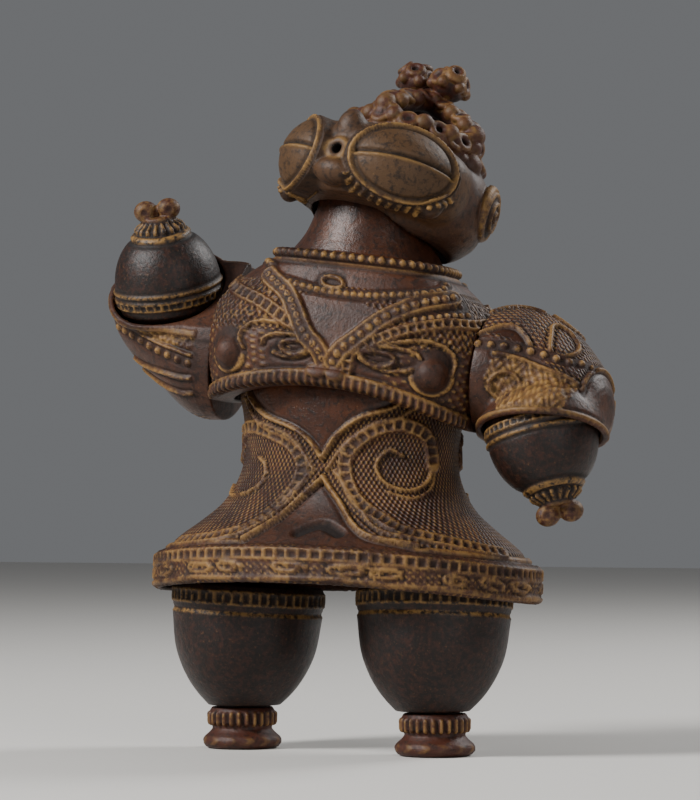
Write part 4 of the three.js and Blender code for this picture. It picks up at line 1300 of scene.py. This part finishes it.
def painted_plastic(name, base, mottle, deep, ochre, tone, lens, patch=7.0):
    """Moulded ABS or PVC, sprayed with a brown base coat, washed with thin dark paint and dry-brushed.

    The moulding gives crisp edges and even, grainless panels. The spray gives the eye a mottled brown
    with a soft low shine. The recesses are black-brown and dull: thin dark paint washed in, deepened with
    painted shade.
    The dry brush leaves broken ochre on whatever stands proud. Panels left bare of carving shine a little
    more.
    """
    material = bpy.data.materials.new(name)
    material.use_nodes = True
    tree = material.node_tree
    tree.nodes.clear()
    at = add(tree, "ShaderNodeTexCoord", {}, "Object")
    carved = {key: add(tree, "ShaderNodeAttribute", {}, "Fac", attribute_name=key) for key in CARVED}
    cloud = {}
    for key, size, rough in (("patches", patch, 0.6), ("specks", SPECKS, 0.7), ("grit", GRIT, 0.7)):
        feeds = {"Vector": at, "Scale": per_metre(size), "Detail": 4.0, "Roughness": rough}
        cloud[key] = add(tree, "ShaderNodeTexNoise", feeds, "Fac")
    patches, specks, grit = cloud["patches"], cloud["specks"], cloud["grit"]

    # Pressed cord: staggered grains, from one wave round the piece and one up it
    grain = carved["cords"]
    for key, pitch in (("across", CORD_ACROSS), ("up", CORD_UP)):
        wave = add(tree, MATHS, {0: carved[key], 1: 2 * math.pi / pitch}, operation="MULTIPLY")
        wave = add(tree, MATHS, {0: wave}, operation="COSINE")
        grain = add(tree, MATHS, {0: grain, 1: wave}, operation="MULTIPLY")
    sunk = add(tree, MATHS, {0: grain, 1: -1.0}, operation="MULTIPLY")
    broken = add(tree, MATHS, {0: specks, 1: patches}, operation="ADD")

    # Each share of paint: what drives it, where it starts, where it is full, and how strong it is
    share = {}
    for key, value, low, high, strength in (
        ("mottle", patches, 0.38, 0.66, 1.0),
        ("stipple", specks, 0.47, 0.66, 0.75),
        ("dust", grit, 0.6, 0.72, 0.22),
        ("cord top", grain, 0.05, 0.6, 0.62),
        ("cord dip", sunk, 0.0, 0.7, 0.75),
        ("broken", broken, 0.78, 1.16, 0.95),
    ):
        ramp = add(tree, RAMP, {0: value, 1: low, 2: high}, interpolation_type="SMOOTHSTEP")
        share[key] = add(tree, MATHS, {0: ramp, 1: strength}, operation="MULTIPLY")
    # Recesses and cord dips take the deep colour, partly thin dark paint washed in and partly painted shade
    pits = add(tree, MATHS, {0: carved["pit"], 1: share["cord dip"]}, operation="MAXIMUM")
    wash_and_shade = add(tree, MATHS, {0: pits, 1: 0.92}, operation="MULTIPLY")
    worn = add(tree, MATHS, {0: carved["tan"], 1: share["cord top"]}, operation="MAXIMUM")
    brushed = add(tree, MATHS, {0: worn, 1: share["broken"]}, operation="MULTIPLY", use_clamp=True)

    colour = linear(base)
    for cover, code in (
        (share["mottle"], mottle),
        (carved["tone"], tone),
        (carved["lens"], lens),
        (share["stipple"], deep),
        (wash_and_shade, deep),
        (brushed, ochre),
        (share["dust"], ochre),
    ):
        colour = add(tree, MIX, {0: cover, 6: colour, 7: linear(code)}, 2, data_type="RGBA")

    relief = add(tree, MATHS, {0: grain, 1: 0.9}, operation="MULTIPLY")
    for value, depth in ((specks, 0.7), (grit, 0.25)):
        fine = add(tree, MATHS, {0: value, 1: depth}, operation="MULTIPLY")
        relief = add(tree, MATHS, {0: relief, 1: fine}, operation="ADD")
    bump = add(tree, "ShaderNodeBump", {"Height": relief, "Strength": 0.8, "Distance": BUMP_MM * MM})
    rough = add(tree, MATHS, {0: specks, 1: 0.25}, operation="MULTIPLY")
    rough = add(tree, MATHS, {0: rough, 1: SOFT_SHINE}, operation="ADD")
    for value, change in ((carved["gloss"], -0.26), (pits, 0.3)):
        more = add(tree, MATHS, {0: value, 1: change}, operation="MULTIPLY")
        rough = add(tree, MATHS, {0: rough, 1: more}, operation="ADD", use_clamp=True)
    # Acrylic paint has an index of 1.46 to 1.49; its matt finish cuts the shine a little
    feeds = {"Base Color": colour, "Roughness": rough, "Normal": bump, "IOR": 1.46}
    skin = add(tree, "ShaderNodeBsdfPrincipled", {**feeds, "Specular IOR Level": 0.36})
    add(tree, "ShaderNodeOutputMaterial", {"Surface": skin})
    return material


PAINTS = dict(deep="0d0604", ochre="8a6838", tone="3a180c", lens="46301a")
head_paint = painted_plastic("painted plastic, head", base="331c0f", mottle="432812", **PAINTS)
body_paint = painted_plastic("painted plastic, body", base="31180c", mottle="462512", **PAINTS)
limb_paint = painted_plastic("painted plastic, limbs", base="120906", mottle="2c150c", patch=0.9, **PAINTS)
foot_paint = painted_plastic("painted plastic, feet", base="30190e", mottle="432313", **PAINTS)

# ---- pieces ------------------------------------------------------------------------------------

# Where pressed cord covers a sleeve, and the lines and patches on it, as (degrees from its top, mm outward)
LEFT_ARM["corded"] = lambda degrees, x: (degrees > -86) & (degrees < 100) & (x < 20.2)
RIGHT_ARM["corded"] = lambda degrees, x: (degrees > -120) & (degrees < 58)
HALF_OVAL = [(-84, 1.2), (-75, 3.8), (-69, 5.6), (-68, 7.6), (-72, 9.4), (-82, 11.8)]
FAR_OVAL = [(-72, 14.2), (-57, 13), (-44, 12), (-34, 13), (-32, 15.5), (-42, 17.4), (-60, 17.2), (-72, 15.6)]
WORN_PATCH = [(-120, 5), (-99, 6.4), (-94, 10.4), (-90, 14.4), (-82, 18), (-78, 20.4)]
WORN_PATCH += [(-100, 20.6), (-126, 20.2), (-131, 14.6), (-134, 9.8), (-131, 6)]
BEAD_ROW = [(-91, 0.4), (-90, 4.2), (-88, 7), (-86, 9.6), (-81, 13), (-74, 16), (-63, 18.2), (-44, 20.2)]
SLEEVE_MARKS = {
    1: [
        ("beads", BEAD_ROW),
        ("beads", [(-a, x) for a, x in BEAD_ROW]),
        ("rib", [(-140, 20.6), (-100, 20.8), (-60, 20.7), (-20, 20.8), (20, 20.8), (60, 20.7), (100, 20.8)]),
        ("rib", HALF_OVAL),
        ("rib", FAR_OVAL),
        ("rib", [(-66, 0.4), (-50, 1.5), (-36, 3), (-26, 5.0), (-28, 8.4)]),
        ("rib", [(-20, 9.5), (-16, 12.5), (-4, 14), (10, 13), (14, 9.5)]),
        ("rib", [(-120, 6), (-111, 7.4), (-108, 9.8), (-118, 11.4), (-130, 9.4), (-129, 6.8), (-120, 6)]),
        ("rib", [(-96, 6), (-94, 10.4), (-92, 14.4), (-86, 18), (-84, 20.2)]),
        ("smooth", HALF_OVAL),
        ("worn", WORN_PATCH),
        ("smooth", [(-180, 20.8), (180, 20.8), (180, 24), (-180, 24)]),
        ("smooth", [(-180, 0), (-86, 0), (-86, 20), (-180, 20)]),
    ],
    -1: [
        ("beads", [(98, 19), (104, 16.5), (107, 13.5), (108, 11), (111, 8), (114, 4), (113, 0.4)]),
        ("rib", [(103, 19.4), (109, 16.5), (113, 13.5), (114, 11), (117, 8), (120, 4), (119, 0.4)]),
        ("rib", [(72, 16), (80, 12.5), (89, 9.5), (97, 6), (101, 2), (102, 0.3)]),
        ("rib", [(60, 15), (68, 11.5), (77, 8.5), (84, 5), (88, 1), (88, 0.3)]),
        ("worn", [(119, 0), (119, 5), (116, 9), (113, 13), (124, 14), (142, 10), (158, 6), (158, 0)]),
        ("smooth", [(58, 0), (180, 0), (180, 24), (58, 24)]),
        ("smooth", [(-180, 0), (-120, 0), (-120, 24), (-180, 24)]),
    ],
}

# The boxes that hold each shape, in its own frame
HEAD_BOX = ((-21, -19, -14), (21, 22, 22))
CHEST_BOX = ((-25, -18.5, -4), (25, 18.5, 36.5))
HIPS_BOX = ((-36.5, -25.5, -1), (36.5, 25.5, 42))
SLEEVE_BOX = ((-6, -16, -19), (24, 16, 16))
FOREARM_BOX = ((-10, -10, -10), (10, 10, 14.6))
LEG_BOX = ((-14, -14, -2.5), (14, 14, 22))
FOOT_BOX = ((-7.5, -7.5, -0.5), (7.5, 7.5, 8))

make_piece("head", head_shape, HEAD_BOX, 0.31, HEAD, head_relief, head_paint)
make_piece("chest", chest_with_nipples, CHEST_BOX, 0.32, CHEST, chest_relief, body_paint)
make_piece("hips_and_skirt", hips_shape, HIPS_BOX, 0.37, HIPS, hips_relief, body_paint)
for word, arm in (("left", LEFT_ARM), ("right", RIGHT_ARM)):
    shape, relief = sleeve_shape_of(arm), sleeve_relief_of(arm, SLEEVE_MARKS[arm["side"]])
    make_piece(word + "_sleeve", shape, SLEEVE_BOX, 0.29, sleeve_matrix(arm), relief, body_paint)
    seat = forearm_matrix(arm)
    make_piece(word + "_forearm", forearm_shape, FOREARM_BOX, 0.28, seat, forearm_relief, limb_paint)
LEGS = {
    "right": (leg_matrix(RIGHT_FOOT, (-1.5, 3, 0)), RIGHT_FOOT),
    "left": (leg_matrix(LEFT_FOOT, (-5, -0.6, 0), -0.6), LEFT_FOOT),
}
for word, (stand, foot) in LEGS.items():
    make_piece(word + "_leg", leg_shape_of(stand), LEG_BOX, 0.36, stand, leg_relief, limb_paint)
    stand = place(np.array([foot[0], foot[1], 0]) + SHIFT)
    make_piece(word + "_foot", foot_shape, FOOT_BOX, 0.25, stand, foot_relief, foot_paint)

# ---- floor, light and camera -------------------------------------------------------------------

# The camera's places are in mm; the floor and the lights are in metres
FLOOR_HALF = 1.5
LIGHT_AIM = (0, 0, 0.06)
ROOM_COLOUR, ROOM_STRENGTH = (0.7, 0.72, 0.75, 1), 0.22
CAMERA_AT = (274.4, -589.4, 45)
CAMERA_AIM = (-0.31, -0.29, 61)
LENS_MM, SENSOR_MM = 168.3, 36


def matt_board(name, code, rough):
    """Painted board: even, dull and without grain, so that nothing on the floor draws the eye."""
    material = bpy.data.materials.new(name)
    material.use_nodes = True
    tree = material.node_tree
    tree.nodes.clear()
    skin = add(tree, "ShaderNodeBsdfPrincipled", {"Base Color": linear(code), "Roughness": rough})
    add(tree, "ShaderNodeOutputMaterial", {"Surface": skin})
    return material


def lay_floor():
    mesh = bpy.data.meshes.new("floor")
    corners = [(x * FLOOR_HALF, y * FLOOR_HALF, 0) for x, y in ((-1, -1), (1, -1), (1, 1), (-1, 1))]
    mesh.from_pydata(corners, [], [(0, 1, 2, 3)])
    mesh.materials.append(matt_board("floor", "c9c6c1", 0.6))
    floor = bpy.data.objects.new("floor", mesh)
    bpy.context.scene.collection.objects.link(floor)


def soft_light(name, at, size, power):
    data = bpy.data.lights.new(name, "AREA")
    data.shape, data.size, data.energy = "DISK", size, power
    light = bpy.data.objects.new(name, data)
    light.location = at
    light.rotation_euler = (Vector(LIGHT_AIM) - Vector(at)).to_track_quat("-Z", "Y").to_euler()
    bpy.context.scene.collection.objects.link(light)


def stand_camera():
    data = bpy.data.cameras.new("camera")
    data.lens, data.sensor_width = LENS_MM, SENSOR_MM
    camera = bpy.data.objects.new("camera", data)
    at, aim = Vector(CAMERA_AT) * MM, Vector(CAMERA_AIM) * MM
    camera.location = at
    camera.rotation_euler = (aim - at).to_track_quat("-Z", "Y").to_euler()
    bpy.context.scene.collection.objects.link(camera)
    bpy.context.scene.camera = camera


lay_floor()
soft_light("key", (-0.4, -0.5, 0.5), 0.25, 10)
soft_light("fill", (0.6, -0.5, 0.3), 0.5, 2)
soft_light("rim", (0.35, 0.5, 0.5), 0.3, 4.5)
world = bpy.data.worlds.new("room")
world.use_nodes = True
world.node_tree.nodes["Background"].inputs[0].default_value = ROOM_COLOUR
world.node_tree.nodes["Background"].inputs[1].default_value = ROOM_STRENGTH
bpy.context.scene.world = world
stand_camera()
